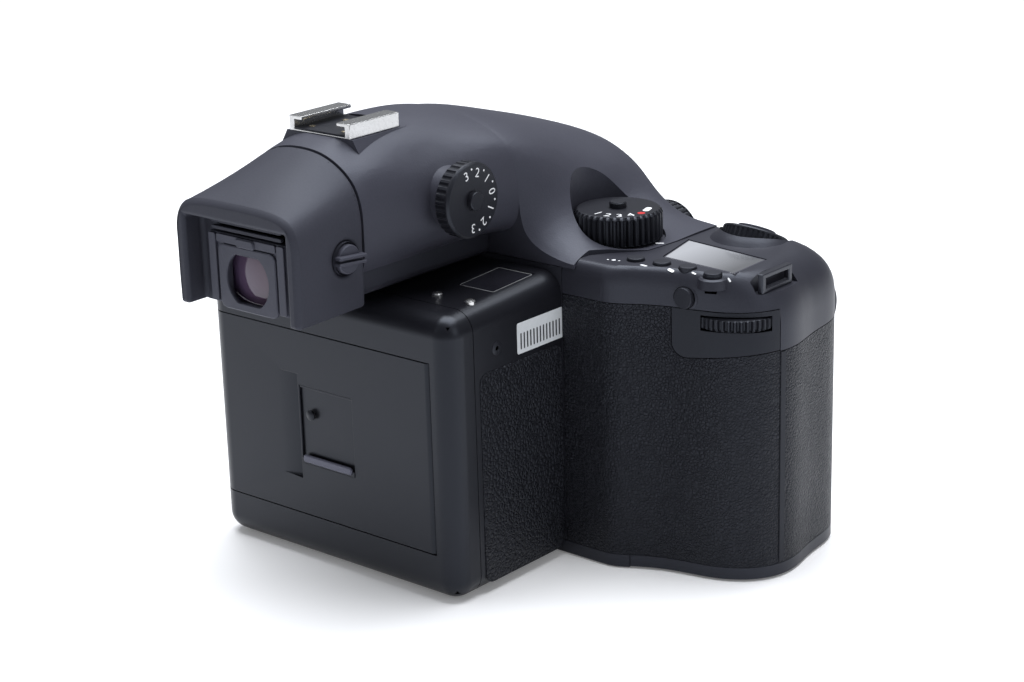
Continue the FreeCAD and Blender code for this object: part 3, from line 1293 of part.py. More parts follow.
# Magazine door, hinged at the right on a pin, with a sliding latch on its left side wall
door_zone = block("door_zone", (f"-{OPEN}", hinge_x), (f"-{OPEN}", "magazine_split-seam/2"),
                  ("door_bottom", "door_top"))
door_hollow = block("door_hollow", (wall_left, OPEN), (inner_rear, OPEN), ("0", OPEN))
door_barrel = rod("door_barrel_rod", "Z", (hinge_x, hinge_y, "door_bottom"), "door_top-door_bottom",
                  "door_barrel")
door_pin_room = rod("door_pin_room", "Z", (hinge_x, hinge_y, "0"), "100", "door_pin+running")
clip_room = block("clip_room", ("clip_left", "clip_right"), ("magazine_rear-1", "magazine_rear+clip_depth"),
                  ("clip_bottom", "clip_top"))
latch_mid = "magazine_rear+door_barrel*4"
latch_room = block("latch_room", (f"-{OPEN}", "0"), (f"{latch_mid}-latch_width/2-seam/2",
                                                     f"{latch_mid}+latch_width/2+seam/2"),
                   ("latch_z-seam", "latch_z+latch_length+latch_stroke+seam"))
door_body = join("door_body", cut("door_panel", common("door_form", magazine_form, door_zone), door_hollow),
                 door_barrel)
keep(cut("door_cut", door_body, door_pin_room, clip_room, latch_room), "magazine_door")
latch = join("latch_joined",
             block("latch_slider", ("magazine_left-0.7", wall_left + "+1"),
                   (f"{latch_mid}-latch_width/2", f"{latch_mid}+latch_width/2"),
                   ("latch_z", "latch_z+latch_length")),
             block("latch_rim", (wall_left + "+seam", wall_left + "+1"),
                   (f"{latch_mid}-latch_width/2", f"{latch_mid}+latch_width/2+1"),
                   ("latch_z", "latch_z+latch_length")))
keep(latch, "door_latch")
clip = join("clip_joined",
            block("clip_plate", ("clip_left", "clip_right"),
                  ("magazine_rear+clip_depth-0.4", "magazine_rear+clip_depth"), ("clip_bottom", "clip_top")),
            block("clip_shelf", ("clip_left", "clip_right"),
                  ("magazine_rear-0.2", "magazine_rear+clip_depth"), ("clip_bottom", "clip_bottom+1.6")),
            block("clip_brow", ("clip_left", "clip_right"),
                  ("magazine_rear+0.2", "magazine_rear+clip_depth"), ("clip_top-0.7", "clip_top")))
keep(clip, "memo_clip")

# Film insert with its gate, two spools and the dark slide
insert_shell = cut(
    "insert_shell",
    block("insert_outer", ("-insert_half_width", "insert_half_width"), ("insert_rear", "insert_front"),
          ("insert_bottom", "insert_top")),
    block("insert_inner", ("-insert_half_width+insert_plate", "insert_half_width-insert_plate"),
          ("insert_rear-1", "insert_front-insert_plate"),
          ("insert_bottom+insert_plate", "insert_top-insert_plate")),
    block("insert_gate", ("-gate_width/2", "gate_width/2"), ("insert_rear", OPEN), (gate_low, gate_high)),
    *[rod(f"spool_bore_{i}", "X", ("-insert_half_width-1", "spool_y", z), "insert_half_width*2+2",
          "spool_trunnion+running") for i, z in enumerate(("spool_low_z", "spool_high_z"))])
keep(insert_shell, "film_insert")
for name, z in (("feed_spool", "spool_low_z"), ("take_up_spool", "spool_high_z")):
    span, flange = "spool_half_length*2", "spool_flange_thickness"
    end = "(insert_half_width-spool_half_length)"
    spool = turned(name + "_body", [
        ("0", f"-{end}"), ("spool_trunnion", f"-{end}"), ("spool_trunnion", "0"), ("spool_flange", "0"),
        ("spool_flange", flange), ("spool_core", flange), ("spool_core", f"{span}-{flange}"),
        ("spool_flange", f"{span}-{flange}"), ("spool_flange", span), ("spool_trunnion", span),
        ("spool_trunnion", f"{span}+{end}"), ("0", f"{span}+{end}")])
    keep(place(spool, "-spool_half_length", "spool_y", z, turn=TURNS["X"]), name)

slide_y = ("dark_slide_y-dark_slide_thickness/2", "dark_slide_y+dark_slide_thickness/2")
dark_slide = join("dark_slide_joined",
                  block("slide_sheet", ("dark_handle_x+1", "gate_width/2+1"), slide_y,
                        ("lens_height-dark_slide_half_height", "lens_height+dark_slide_half_height")),
                  block("slide_handle", ("dark_handle_x", "magazine_left-seam"),
                        ("dark_slide_y-dark_handle_thickness/2", "dark_slide_y+dark_handle_thickness/2"),
                        ("lens_height-dark_slide_half_height", "lens_height+dark_slide_half_height")))
keep(dark_slide, "dark_slide")

# Check every object, then write one file per piece
doc.recompute()
for thing in doc.Objects:
    if "Invalid" in thing.State or "Error" in thing.State:
        raise SystemExit(f"{thing.Name}: {thing.getStatusString()}")
os.makedirs("parts", exist_ok=True)
for thing in PARTS:
    shape = thing.Shape
    if shape.isNull() or not shape.isValid() or not shape.Solids:
        raise SystemExit(f"{thing.Label} has no valid solid")
    shape.exportStep(os.path.join("parts", thing.Label + ".step"))
    box = shape.optimalBoundingBox()
    print(f"{thing.Label}: {len(shape.Solids)} solids, {shape.Volume:.0f} mm3,",
          *(round(v, 1) for v in (box.XMin, box.XMax, box.YMin, box.YMax, box.ZMin, box.ZMax)))
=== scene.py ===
import json
from contextlib import contextmanager
from functools import cache
from math import radians

import bmesh
import bpy
import numpy as np
from mathutils import Matrix, Vector
from mathutils.bvhtree import BVHTree


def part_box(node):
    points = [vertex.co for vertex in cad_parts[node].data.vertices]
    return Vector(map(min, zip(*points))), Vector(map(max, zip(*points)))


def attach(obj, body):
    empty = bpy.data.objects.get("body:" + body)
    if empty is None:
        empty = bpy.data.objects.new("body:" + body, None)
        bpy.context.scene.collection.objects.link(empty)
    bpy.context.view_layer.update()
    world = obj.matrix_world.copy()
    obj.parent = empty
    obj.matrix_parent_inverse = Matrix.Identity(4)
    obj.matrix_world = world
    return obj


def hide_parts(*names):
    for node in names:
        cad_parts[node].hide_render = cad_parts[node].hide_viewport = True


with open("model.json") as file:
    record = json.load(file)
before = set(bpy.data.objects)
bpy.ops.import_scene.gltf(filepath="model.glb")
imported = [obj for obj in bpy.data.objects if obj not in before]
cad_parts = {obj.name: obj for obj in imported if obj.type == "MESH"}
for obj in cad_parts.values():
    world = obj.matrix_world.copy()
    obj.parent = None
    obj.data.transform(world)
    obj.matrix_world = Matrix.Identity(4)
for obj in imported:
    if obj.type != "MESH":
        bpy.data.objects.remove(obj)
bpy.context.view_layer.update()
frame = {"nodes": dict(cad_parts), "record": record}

# Chassis: the mirror box and the shutter case, which carry everything else, and the case's four blades.
# Castings in flat black paint, screwed to the covers; the blades are blackened sheet in slides.
MM = 0.001
BODY_OF = {node: body for body, nodes in frame["record"]["behaviour"]["bodies"].items() for node in nodes}
BLUE_BLACK, NEUTRAL = (1.0, 1.0, 1.34), (1.0, 1.0, 1.0)
COOL_GLOSS = (0.78, 0.85, 1.0, 1.0)
SAME_CAD_POINT, SAME_PLANE = 2e-6, radians(0.6)
CLOUD_SCALE, MOTTLE_GAIN, MOTTLE_SHIFT = 34.0, 0.9, -0.4
GRAIN_DEPTH, TOOL_MARK_DEPTH = 0.07 * MM, 0.02 * MM
WIDE_ROUND = 1.0
SHARP_BESIDE_ROUND = 50.0


class Finish:
    """One material, with short names for wiring its shader nodes."""

    def __init__(self, name):
        self.material = bpy.data.materials.new(name)
        self.material.use_nodes = True
        self.tree = self.material.node_tree
        self.shader = self.tree.nodes["Principled BSDF"]
        self.place = self.tree.nodes.new("ShaderNodeTexCoord").outputs["Object"]

    def put(self, socket, item):
        """Links a socket to another one, or gives it a value."""
        if isinstance(item, bpy.types.NodeSocket):
            self.tree.links.new(item, socket)
        else:
            socket.default_value = item

    def node(self, kind, **inputs):
        """A new node: each word names one of its sockets, or else one of its settings."""
        made = self.tree.nodes.new("ShaderNode" + kind)
        for key, item in inputs.items():
            socket = key.replace("_", " ")
            if socket in made.inputs.keys():
                self.put(made.inputs[socket], item)
            else:
                setattr(made, key, item)
        return made

    def calc(self, operation, *items):
        """The result of a Math node."""
        made = self.node("Math", operation=operation)
        for socket, item in zip(made.inputs, items):
            self.put(socket, item)
        return made.outputs[0]

    def noise(self, scale, detail=3.0):
        return self.node("TexNoise", Vector=self.place, Scale=scale, Detail=detail).outputs["Fac"]

    def blend(self, factor, first, second):
        """Two colours mixed: a Mix node takes colours at its sockets 6 and 7 and gives one at socket 2."""
        made = self.node("Mix", data_type="RGBA")
        for index, item in ((0, factor), (6, first), (7, second)):
            self.put(made.inputs[index], item)
        return made.outputs[2]

    def drive(self, socket, item):
        self.tree.links.new(item, self.shader.inputs[socket])

    def colour(self, factor, first, second):
        self.drive("Base Color", self.blend(factor, first, second))

    def roughen(self, pattern, rough, swing):
        """Roughness that a pattern moves by up to a swing to either side."""
        self.drive("Roughness", self.calc("MULTIPLY_ADD", pattern, 2 * swing, rough - swing))

    def bump(self, height, strength, distance):
        bump = self.node("Bump", Height=height, Strength=strength, Distance=distance)
        self.drive("Normal", bump.outputs[0])

    def set(self, **values):
        """Uniform values, on the shader's own sockets."""
        for key, item in values.items():
            self.shader.inputs[key.replace("_", " ")].default_value = item


def shade(value, tint=BLUE_BLACK):
    """A colour of one lightness, by default the cool grey of the black plastics."""
    return tuple(min(1.0, value * part) for part in tint) + (1.0,)


def moulded(name, tone, rough, grain=3000.0, strength=0.35, gloss=0.35):
    """Black moulding: spark-eroded grain in the bump, and clouds that move the tone by 14 % and the
    roughness by 0.06. Grain is in bumps per metre."""
    finish = Finish(name)
    cloud, fine = finish.noise(CLOUD_SCALE, detail=4.0), finish.noise(grain, detail=2.0)
    mottle = finish.calc("MULTIPLY_ADD", finish.calc("ADD", cloud, fine), MOTTLE_GAIN, MOTTLE_SHIFT)
    finish.colour(mottle, shade(tone * 0.86), shade(tone * 1.14))
    finish.roughen(cloud, rough, 0.06)
    finish.set(Specular_IOR_Level=gloss, Specular_Tint=COOL_GLOSS)
    finish.bump(fine, strength, GRAIN_DEPTH)
    return finish


@contextmanager
def edited(mesh):
    """Opens a mesh for bmesh's tools, and writes it back."""
    work = bmesh.new()
    work.from_mesh(mesh)
    yield work
    work.to_mesh(mesh)
    work.free()


def crisp(mesh, angle):
    """Smooth shading, with the edges over an angle kept sharp."""
    with edited(mesh) as work:
        for edge in work.edges:
            edge.smooth = len(edge.link_faces) == 2 and edge.calc_face_angle(0.0) < radians(angle)
        for face in work.faces:
            face.smooth = True


def applied(piece):
    """Puts the result of a piece's modifiers into its mesh."""
    bpy.context.view_layer.update()
    mesh = bpy.data.meshes.new_from_object(piece.evaluated_get(bpy.context.evaluated_depsgraph_get()))
    piece.modifiers.clear()
    piece.data = mesh


def eased(piece, ease, angle):
    """Breaks a piece's edges over an angle by a round (mm) and weights its normals by face size. A wide
    round has more steps, and isn't narrowed where faces are short."""
    if ease:
        bevel = piece.modifiers.new("edge", "BEVEL")
        bevel.width = ease * MM
        bevel.segments = 3 if ease < WIDE_ROUND else 5
        bevel.use_clamp_overlap = ease < WIDE_ROUND
        bevel.limit_method = "ANGLE"
        bevel.angle_limit = radians(angle)
        applied(piece)
    crisp(piece.data, SHARP_BESIDE_ROUND if ease else angle)
    weighted = piece.modifiers.new("normals", "WEIGHTED_NORMAL")
    weighted.keep_sharp = True
    weighted.weight = 80
    applied(piece)


def linked(name, mesh, finish):
    """A new object for a mesh, with one finish."""
    mesh.materials.clear()
    mesh.materials.append(finish.material)
    piece = bpy.data.objects.new(name, mesh)
    bpy.context.scene.collection.objects.link(piece)
    return piece


def dressed(node, finish, ease=0.25, angle=30.0, cutter=None):
    """A finished copy of one CAD node: triangles merged, edges eased, in the node's place. A cutter is a
    closed mesh whose room is taken out of it."""
    mesh = frame["nodes"][node].data.copy()
    with edited(mesh) as work:
        bmesh.ops.remove_doubles(work, verts=work.verts, dist=SAME_CAD_POINT)
        bmesh.ops.dissolve_limit(work, angle_limit=SAME_PLANE, verts=work.verts, edges=work.edges)
    piece = linked(node + "_skin", mesh, finish)
    if cutter:
        tool = linked(node + "_cutter", cutter, finish)
        hollow = piece.modifiers.new("hollow", "BOOLEAN")
        hollow.operation, hollow.solver, hollow.object = "DIFFERENCE", "EXACT", tool
        applied(piece)
        bpy.data.objects.remove(tool)
    eased(piece, ease, angle)
    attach(piece, BODY_OF[node])
    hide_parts(node)


casting_black = moulded("casting_black", tone=0.016, rough=0.62, grain=1200.0, strength=0.5)
blade_black = moulded("blade_black", tone=0.012, rough=0.4)
dressed("mirror_box", casting_black, ease=0.0)
dressed("shutter_frame", casting_black, ease=0.0)
for blade in ("front_blade_1", "front_blade_2", "rear_blade_1", "rear_blade_2"):
    dressed(blade, blade_black, ease=0.0)


# Reflex mirror, focusing screen and finder prism: silvered and clear glass in a painted carrier.
# The mirror is glued to its carrier; screen and prism drop into the casting.
def glass(name, tone, rough, alpha):
    """Clear glass, drawn as a see-through glossy surface with faint streaks."""
    finish = Finish(name)
    finish.colour(finish.noise(30.0), shade(tone * 0.95, NEUTRAL), shade(tone, NEUTRAL))
    finish.set(Roughness=rough, Alpha=alpha, IOR=1.5)
    return finish


def metal(name, tone, rough, marks=0.12, tint=NEUTRAL):
    """Plated or turned metal with fine tool marks in roughness and bump."""
    finish = Finish(name)
    fine = finish.noise(1500.0)
    finish.colour(finish.noise(120.0), shade(tone * 0.92, tint), shade(tone * 1.04, tint))
    finish.roughen(fine, rough, 0.08)
    finish.set(Metallic=1.0)
    finish.bump(fine, marks, TOOL_MARK_DEPTH)
    return finish


clear_glass = glass("clear_glass", tone=0.85, rough=0.03, alpha=0.25)
dressed("mirror_frame", moulded("carrier_black", tone=0.008, rough=0.75), ease=0.0)
dressed("mirror_glass", metal("silvered_glass", tone=0.9, rough=0.08, marks=0.02), ease=0.0)
dressed("focusing_screen", clear_glass, ease=0.0)
dressed("pentaprism", clear_glass, ease=0.0)

# Body covers: left, front and base mouldings, screwed to the casting.
# Satin black plastic; a leatherette sheet is glued to the left side.
cover_plastic = moulded("cover_plastic", tone=0.014, rough=0.46, grain=2600.0, strength=0.45)
base_plastic = moulded("base_plastic", tone=0.016, rough=0.4)
steel = metal("steel", tone=0.55, rough=0.32, marks=0.25)
dressed("left_cover", cover_plastic, ease=0.3)
dressed("front_cover", cover_plastic, ease=0.3)
dressed("base_cover", base_plastic, ease=0.3)
dressed("tripod_socket", steel, ease=0.2)


def leather(name, size, depth, crease_shade):
    """Leatherette: warped cells as pebbles of uneven height, with painted shade darkening the creases between
    them. Size is in cells per metre, depth in mm, and the last argument is the creases' share of the tone,
    which paints their shade."""
    finish = Finish(name)
    tone, warp_scale, warp_reach = 0.0075, 360.0, 1.2 * MM
    ridge_slope, ridge_share, crown_share, uneven_share = 4.0, 0.7, -0.55, 0.9
    warp = finish.node("TexNoise", Vector=finish.place, Scale=warp_scale, Detail=2.0)
    drift = finish.node("VectorMath", operation="SCALE", Scale=warp_reach)
    finish.put(drift.inputs[0], warp.outputs["Color"])
    moved = finish.node("VectorMath", operation="ADD")
    finish.put(moved.inputs[0], finish.place)
    finish.put(moved.inputs[1], drift.outputs[0])
    spot = moved.outputs[0]
    cells = finish.node("TexVoronoi", feature="SMOOTH_F1", Vector=spot, Scale=size, Smoothness=0.4)
    crease = finish.node("TexVoronoi", feature="DISTANCE_TO_EDGE", Vector=spot, Scale=size)
    ridge = finish.calc("MINIMUM", finish.calc("MULTIPLY", crease.outputs["Distance"], ridge_slope), 1.0)
    crown = finish.calc("MULTIPLY", cells.outputs["Distance"], crown_share)
    uneven = finish.calc("MULTIPLY", finish.noise(size * 0.45, detail=2.0), uneven_share)
    height = finish.calc("ADD", finish.calc("MULTIPLY_ADD", ridge, ridge_share, crown), uneven)
    # Painted shade: the creases take a darker tone than the pebble tops.
    finish.colour(ridge, shade(tone * crease_shade), shade(tone * 1.25))
    finish.roughen(finish.noise(60.0), 0.43, 0.07)
    finish.set(Specular_IOR_Level=0.26, Specular_Tint=COOL_GLOSS)
    finish.bump(height, 1.0, depth * MM)
    return finish


SAME_POINT = 1e-6
PLATE_SUNK = 0.1


def looped(name, rows, place, joined=False):
    """A closed mesh on loops of points (rows, around, xyz in mm), moved by a matrix. Point (i, j) makes a
    face with (i, j+1), (i+1, j+1) and (i+1, j); the end loops are closed flat, or joined to each other."""
    count, around = rows.shape[:2]
    points = (rows.reshape(-1, 3) @ np.array(place.to_3x3()).T + np.array(place.translation)) * MM
    i = np.arange(count if joined else count - 1)[:, None]
    j = np.arange(around)[None, :]
    near, far, beside = i * around, (i + 1) % count * around, (j + 1) % around
    faces = np.stack([near + j, near + beside, far + beside, far + j], axis=-1).reshape(-1, 4).tolist()
    if not joined:
        faces += [list(range(around)), list(range((count - 1) * around, count * around))]
    mesh = bpy.data.meshes.new(name)
    mesh.from_pydata(points.tolist(), [], faces)
    with edited(mesh) as work:
        bmesh.ops.remove_doubles(work, verts=work.verts, dist=SAME_POINT)
        bmesh.ops.recalc_face_normals(work, faces=work.faces)
    return mesh


def surface(name, rows, place, finish, body, joined=False, angle=30.0):
    """A new piece with a looped mesh, on its body."""
    piece = linked(name, looped(name, rows, place, joined), finish)
    eased(piece, 0.0, angle)
    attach(piece, body)
    return piece


def rounded_loop(width, height, radius, corner=7):
    """A rounded rectangle: each corner's centre plus radius times (cos, sin) over its quarter turn."""
    turn = (np.arange(4)[:, None] + np.linspace(0, 1, corner)[None, :]) * np.pi / 2
    side = np.array([[1, 1], [-1, 1], [-1, -1], [1, -1]])
    centre = side * (np.array([width, height]) / 2 - radius)
    return (centre[:, None, :] + radius * np.stack([np.cos(turn), np.sin(turn)], -1)).reshape(-1, 2)


def stacked(*levels):
    """Flat loops (points, height) as the rows of a surface."""
    return np.stack([np.column_stack([loop, np.full(len(loop), height)]) for loop, height in levels])


def panel(name, width, height, radius, thick, place, finish, body, ease=0.12):
    """A flat plate (mm) with round corners: the rounded loop at its foot, sunk into what carries it, and at
    its top, drawn in at the rim."""
    small = rounded_loop(width - 2 * ease, height - 2 * ease, max(radius - ease, 0.01))
    full = rounded_loop(width, height, radius)
    levels = stacked((full, -PLATE_SUNK), (full, thick - ease), (small, thick))
    surface(name, levels, place, finish, body)


def facing(origin, out, upward):
    """A matrix (mm) whose local Z looks out of a surface and whose local Y is upward on it."""
    z = Vector(out).normalized()
    y = Vector(upward)
    y = (y - z * y.dot(z)).normalized()
    place = Matrix((y.cross(z), y, z)).transposed().to_4x4()
    place.translation = Vector(origin)
    return place


leather_sheet = leather("leather_sheet", size=860.0, depth=0.24, crease_shade=0.5)
LEFTWARD = ((-1, 0, 0), (0, 0, 1))
panel("left_leather", 44, 74, 3, 0.35, facing((-50, -1, 43), *LEFTWARD), leather_sheet,
      "camera_body")

# Base fittings: four plated screws with a round recess, and a rubber ring round the tripod socket.
# The screws hold the base moulding; the ring is glued.
rubber = moulded("ring_rubber", tone=0.012, rough=0.7, grain=1500.0)


def turned(profile, around=48):
    """A turned form: each (radius, height) of the profile swept by (r cos t, r sin t, h)."""
    turn = np.linspace(0, 2 * np.pi, around, endpoint=False)
    radius, height = np.array(profile, float).T
    return np.stack([radius[:, None] * np.cos(turn), radius[:, None] * np.sin(turn),
                     np.broadcast_to(height[:, None], (len(radius), around))], -1)


DOWNWARD = ((0, 0, -1), (0, 1, 0))
BASE_FACE = 0.1
surface("tripod_ring", turned([(8.2, 0.2), (8.2, 0.0), (13.5, 0.0), (13.5, 0.2)]),
        facing((0, 0, BASE_FACE), *DOWNWARD), rubber, "camera_body", joined=True)
screw_head = turned([(2.3, -0.2), (2.3, 0.02), (1.9, 0.08), (0.9, 0.08), (0.7, -0.15)], 24)
for index, (x, y) in enumerate(((-42, -19), (-42, 18), (34, 18), (58, -19))):
    surface(f"base_screw_{index}", screw_head, facing((x, y, BASE_FACE), *DOWNWARD), steel,
            "camera_body")

# Hand grip: shells in leatherette grain, with a smooth deck on top and a hard strip in the rear seam.
# Moulded plastic over the battery chamber; the display's clear cover is glued in from above.
grip_leather = leather("grip_leather", size=1150.0, depth=0.2, crease_shade=0.65)
deck_plastic = moulded("deck_plastic", tone=0.021, rough=0.44, grain=2600.0, strength=0.4)
bezel_plastic = moulded("bezel_plastic", tone=0.008, rough=0.42, grain=2600.0, gloss=0.28)
dressed("grip_shell", grip_leather, ease=0.3)
dressed("grip_rear_cover", grip_leather, ease=0.3)
dressed("rear_dial_bezel", bezel_plastic, ease=0.35)
dressed("grip_top_cover", deck_plastic, ease=0.0, angle=26.0)
dressed("battery_case", base_plastic, ease=0.25)
dressed("battery_cells", metal("cell_can", tone=0.5, rough=0.35, tint=(1.0, 0.86, 0.5)), ease=0.0)


@cache
def tree_of(node):
    """A node's faces, ready for lines to be cast at them."""
    mesh = frame["nodes"][node].data
    return BVHTree.FromPolygons([v.co for v in mesh.vertices], [p.vertices for p in mesh.polygons])


def landing(node, start, way):
    """Where a line from a point (mm) first meets a node, and the way out of its surface there."""
    spot, normal, _, _ = tree_of(node).ray_cast(Vector(start) * MM, Vector(way))
    return spot / MM, normal if normal.dot(Vector(way)) < 0 else -normal


def on_top(node, x, y):
    """The landing on a node from straight above."""
    return landing(node, (x, y, 120), (0, 0, -1))


SEAM_FOOT, SEAM_MIDDLE, SEAM_TOP = 4.4, 30, 64.6
SEAM_PROUD, SEAM_SUNK = 0.12, 0.4
edges = [landing("grip_shell", (150, y, SEAM_MIDDLE), (-1, 0, 0))[0] for y in (-3.75, -2.9, -2.1)]
strip = np.array([(edge.x + SEAM_PROUD, edge.y) for edge in edges]
                 + [(edge.x - SEAM_SUNK, edge.y) for edge in reversed(edges)])
surface("grip_seam_strip", stacked((strip, SEAM_FOOT), (strip, SEAM_TOP)), Matrix.Identity(4),
        bezel_plastic, "camera_body")


def inside(finish, corners, inset):
    """One where a point lies inside a polygon (mm, counter-clockwise) drawn in by an inset: its distance
    a x + b y - c from each side's line is above zero."""
    split = finish.node("SeparateXYZ", Vector=finish.place)
    mask = None
    for (x0, y0), (x1, y1) in zip(corners, corners[1:] + corners[:1]):
        length = ((x1 - x0) ** 2 + (y1 - y0) ** 2) ** 0.5
        a, b = -(y1 - y0) / length, (x1 - x0) / length
        side = finish.calc("MULTIPLY_ADD", split.outputs["Y"], b, -(a * x0 + b * y0 + inset) * MM)
        within = finish.calc("GREATER_THAN", finish.calc("MULTIPLY_ADD", split.outputs["X"], a, side), 0.0)
        mask = within if mask is None else finish.calc("MULTIPLY", mask, within)
    return mask


DISPLAY = [(67.2, -9.0), (92.0, -11.0), (91.4, 4.4), (62.9, 8.4)]
DISPLAY_BORDER = 0.5
# Painted reflection: a pale grey over the display's left part, up to about x 68 mm, fading out by about x 88
# mm over the display's own dark grey.
REFLECTION_AT_ORIGIN, REFLECTION_PER_METRE = 4.3, -48.0
DARK_GREY, MIDDLE_GREY = shade(0.08, (1, 1.02, 1.1)), shade(0.12, (1, 1.02, 1.1))
REFLECTION_GREY = shade(0.4, (1, 1.02, 1.08))
display = Finish("display_cover")
along = display.node("SeparateXYZ", Vector=display.place).outputs["X"]
reflection_share = display.calc("MULTIPLY_ADD", along, REFLECTION_PER_METRE, REFLECTION_AT_ORIGIN)
reflection_share = display.calc("MINIMUM", display.calc("MAXIMUM", reflection_share, 0.0), 1.0)
display_with_reflection = display.blend(reflection_share, display.blend(display.noise(70.0, 2.0), DARK_GREY, MIDDLE_GREY), REFLECTION_GREY)
display.colour(inside(display, DISPLAY, DISPLAY_BORDER), shade(0.05), display_with_reflection)
display.set(Roughness=0.16, Coat_Weight=0.8, Coat_Roughness=0.08)
dressed("status_window", display, ease=0.2)

# Top cover with the prism housing and the finder floor: one matt moulding over the finder.
# Spark-eroded plastic, blue-black, screwed down from inside.
top_plastic = moulded("top_plastic", tone=0.035, rough=0.52, grain=2300.0, strength=0.55)
dressed("top_cover", top_plastic, ease=0.0, angle=24.0)
dressed("finder_floor_cover", deck_plastic, ease=0.25)

# Eyecup hood: soft rubber, slipped over the end of the finder, with a thick rolled rim.
# Smooth and matt, with the two ribs of an eyepiece shutter above the eyepiece plate.
hood_rubber = moulded("hood_rubber", tone=0.027, rough=0.6, grain=1500.0, strength=0.3)
dressed("eyecup_hood", hood_rubber, ease=1.2, angle=40.0)
REARWARD = ((0, -1, 0), (0, 0, 1))
for index, height in enumerate((102.7, 104.6)):
    panel(f"finder_rib_{index}", 26.0, 1.0, 0.4, 0.9, facing((0, -97.6, height), *REARWARD), hood_rubber,
          "camera_body")

# Eyepiece: a raised inner plate in a flat surround, with a tab above, and the coated eye lens.
# The plates are moulded plastic, clipped over the lens; a groove runs round the inner plate.
plate_plastic = moulded("plate_plastic", tone=0.042, rough=0.5, grain=2400.0, strength=0.35)
coated = Finish("coated_lens")
coated.colour(coated.node("LayerWeight", Blend=0.4).outputs["Facing"],
              (0.1, 0.066, 0.07, 1), (0.03, 0.02, 0.12, 1))
coated.set(Roughness=0.08, IOR=1.4, Coat_Weight=0.2, Coat_Roughness=0.03)
dressed("eyepiece_frame", plate_plastic, ease=0.15)
dressed("eyepiece_lens", coated, ease=0.1)
PLATE_FACE = -98.2
EYE_RADIUS, EYE_HALF_HEIGHT = 7.75, 6.6
sweep = np.linspace(0, 2 * np.pi, 64, endpoint=False)
window = np.stack([EYE_RADIUS * np.cos(sweep),
                   np.clip(EYE_RADIUS * np.sin(sweep), -EYE_HALF_HEIGHT, EYE_HALF_HEIGHT)], -1)


def matched(loop, width, height, radius):
    """The points of a rounded rectangle on the rays through a loop's points, so the two pair up. Each is
    found by halving: inside means |max(q, 0)| + min(max(q), 0) < radius, q being |point| - corner centre."""
    ray = loop / np.linalg.norm(loop, axis=1)[:, None]
    low, high = np.zeros(len(ray)), np.full(len(ray), width + height)
    for _ in range(40):
        middle = (low + high) / 2
        q = np.abs(ray * middle[:, None]) - (np.array([width, height]) / 2 - radius)
        within = np.hypot(*np.maximum(q, 0).T) + np.minimum(q.max(axis=1), 0) < radius
        low, high = np.where(within, middle, low), np.where(within, high, middle)
    return ray * low[:, None]


outer, inner = matched(window, 21.4, 17.4, 2.0), matched(window, 20.8, 16.8, 2.0)
surface("eyepiece_inner_plate", stacked((outer, -0.1), (outer, 0.55), (inner, 0.75), (window * 1.03, 0.75),
                                        (window, 0.5), (window, -0.1)),
        facing((0, PLATE_FACE, 90.0), *REARWARD), plate_plastic, "camera_body", joined=True)
SURROUND = ((-12.7, 92.0, 2.6, 18.6), (12.7, 92.0, 2.6, 18.6), (0, 100.2, 22.0, 2.2))
for index, (x, z, width, height) in enumerate(SURROUND):
    panel(f"eyepiece_surround_{index}", width, height, 0.5, 0.75, facing((x, PLATE_FACE, z), *REARWARD),
          plate_plastic, "camera_body")
panel("eyepiece_tab", 7.0, 2.6, 1.0, 1.3, facing((0, PLATE_FACE, 100.0), *REARWARD), plate_plastic,
      "camera_body", ease=0.4)

# Dioptre knob: a turned disc with two finger bars side by side, pressed on a shaft in the finder's side.
# Moulded plastic; the bars stand a little beyond the disc at both ends.
OUTWARD = ((1, 0, 0), (0, 0, 1))
BAR_HEIGHT, BAR_TILT = 1.7, radians(-5)


def span(node):
    """A node's lowest corner, highest corner and middle, in mm."""
    low, high = np.array(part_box(node)) / MM
    return low, high, (low + high) / 2


low, high, middle = span("diopter_knob")
knob_place = facing((low[0], middle[1], middle[2]), *OUTWARD)
bar_foot = high[0] - low[0] - BAR_HEIGHT
disc = surface("diopter_disc", turned([(3.9, 0), (3.9, bar_foot), (3.6, bar_foot + 0.3),
                                       (0.01, bar_foot + 0.3)]),
               knob_place, plate_plastic, "diopter_knob")
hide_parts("diopter_knob")
for index, rise in enumerate((-0.82, 0.82)):
    bar_place = knob_place @ Matrix.Rotation(BAR_TILT, 4, "Z") @ Matrix.Translation((0, rise, bar_foot))
    panel(f"diopter_bar_{index}", 10.0, 0.95, 0.45, BAR_HEIGHT, bar_place, plate_plastic,
          "diopter_knob", ease=0.2)

# Hot shoe: a plated steel channel with a black insert, a round centre contact and four small ones.
# The rails are bent from sheet and screwed down through the insert.
chrome = metal("chrome", tone=0.62, rough=0.25)
contact = metal("contact_metal", tone=0.75, rough=0.24, tint=(1.0, 0.86, 0.6))
dial_black = moulded("dial_black", tone=0.0085, rough=0.42, grain=2600.0, strength=0.4)
dressed("hot_shoe_rails", chrome, ease=0.22)
dressed("hot_shoe_base", dial_black, ease=0.05)
UPWARD = ((0, 0, 1), (0, 1, 0))
SHOE_FLOOR = 124.2
surface("shoe_contact", turned([(1.5, -0.1), (1.5, 0.25), (1.1, 0.4), (0.01, 0.45)], 32),
        facing((0, -61.5, SHOE_FLOOR), *UPWARD), contact, "camera_body")
pin_head = turned([(0.9, -0.1), (0.9, 0.12), (0.6, 0.2), (0.01, 0.2)], 24)
for index, (x, y) in enumerate(((-3.6, -56.4), (3.6, -56.4), (-6.0, -66.6), (6.0, -66.6))):
    surface(f"shoe_fastener_{index}", pin_head, facing((x, y, SHOE_FLOOR), *UPWARD), contact,
            "camera_body")


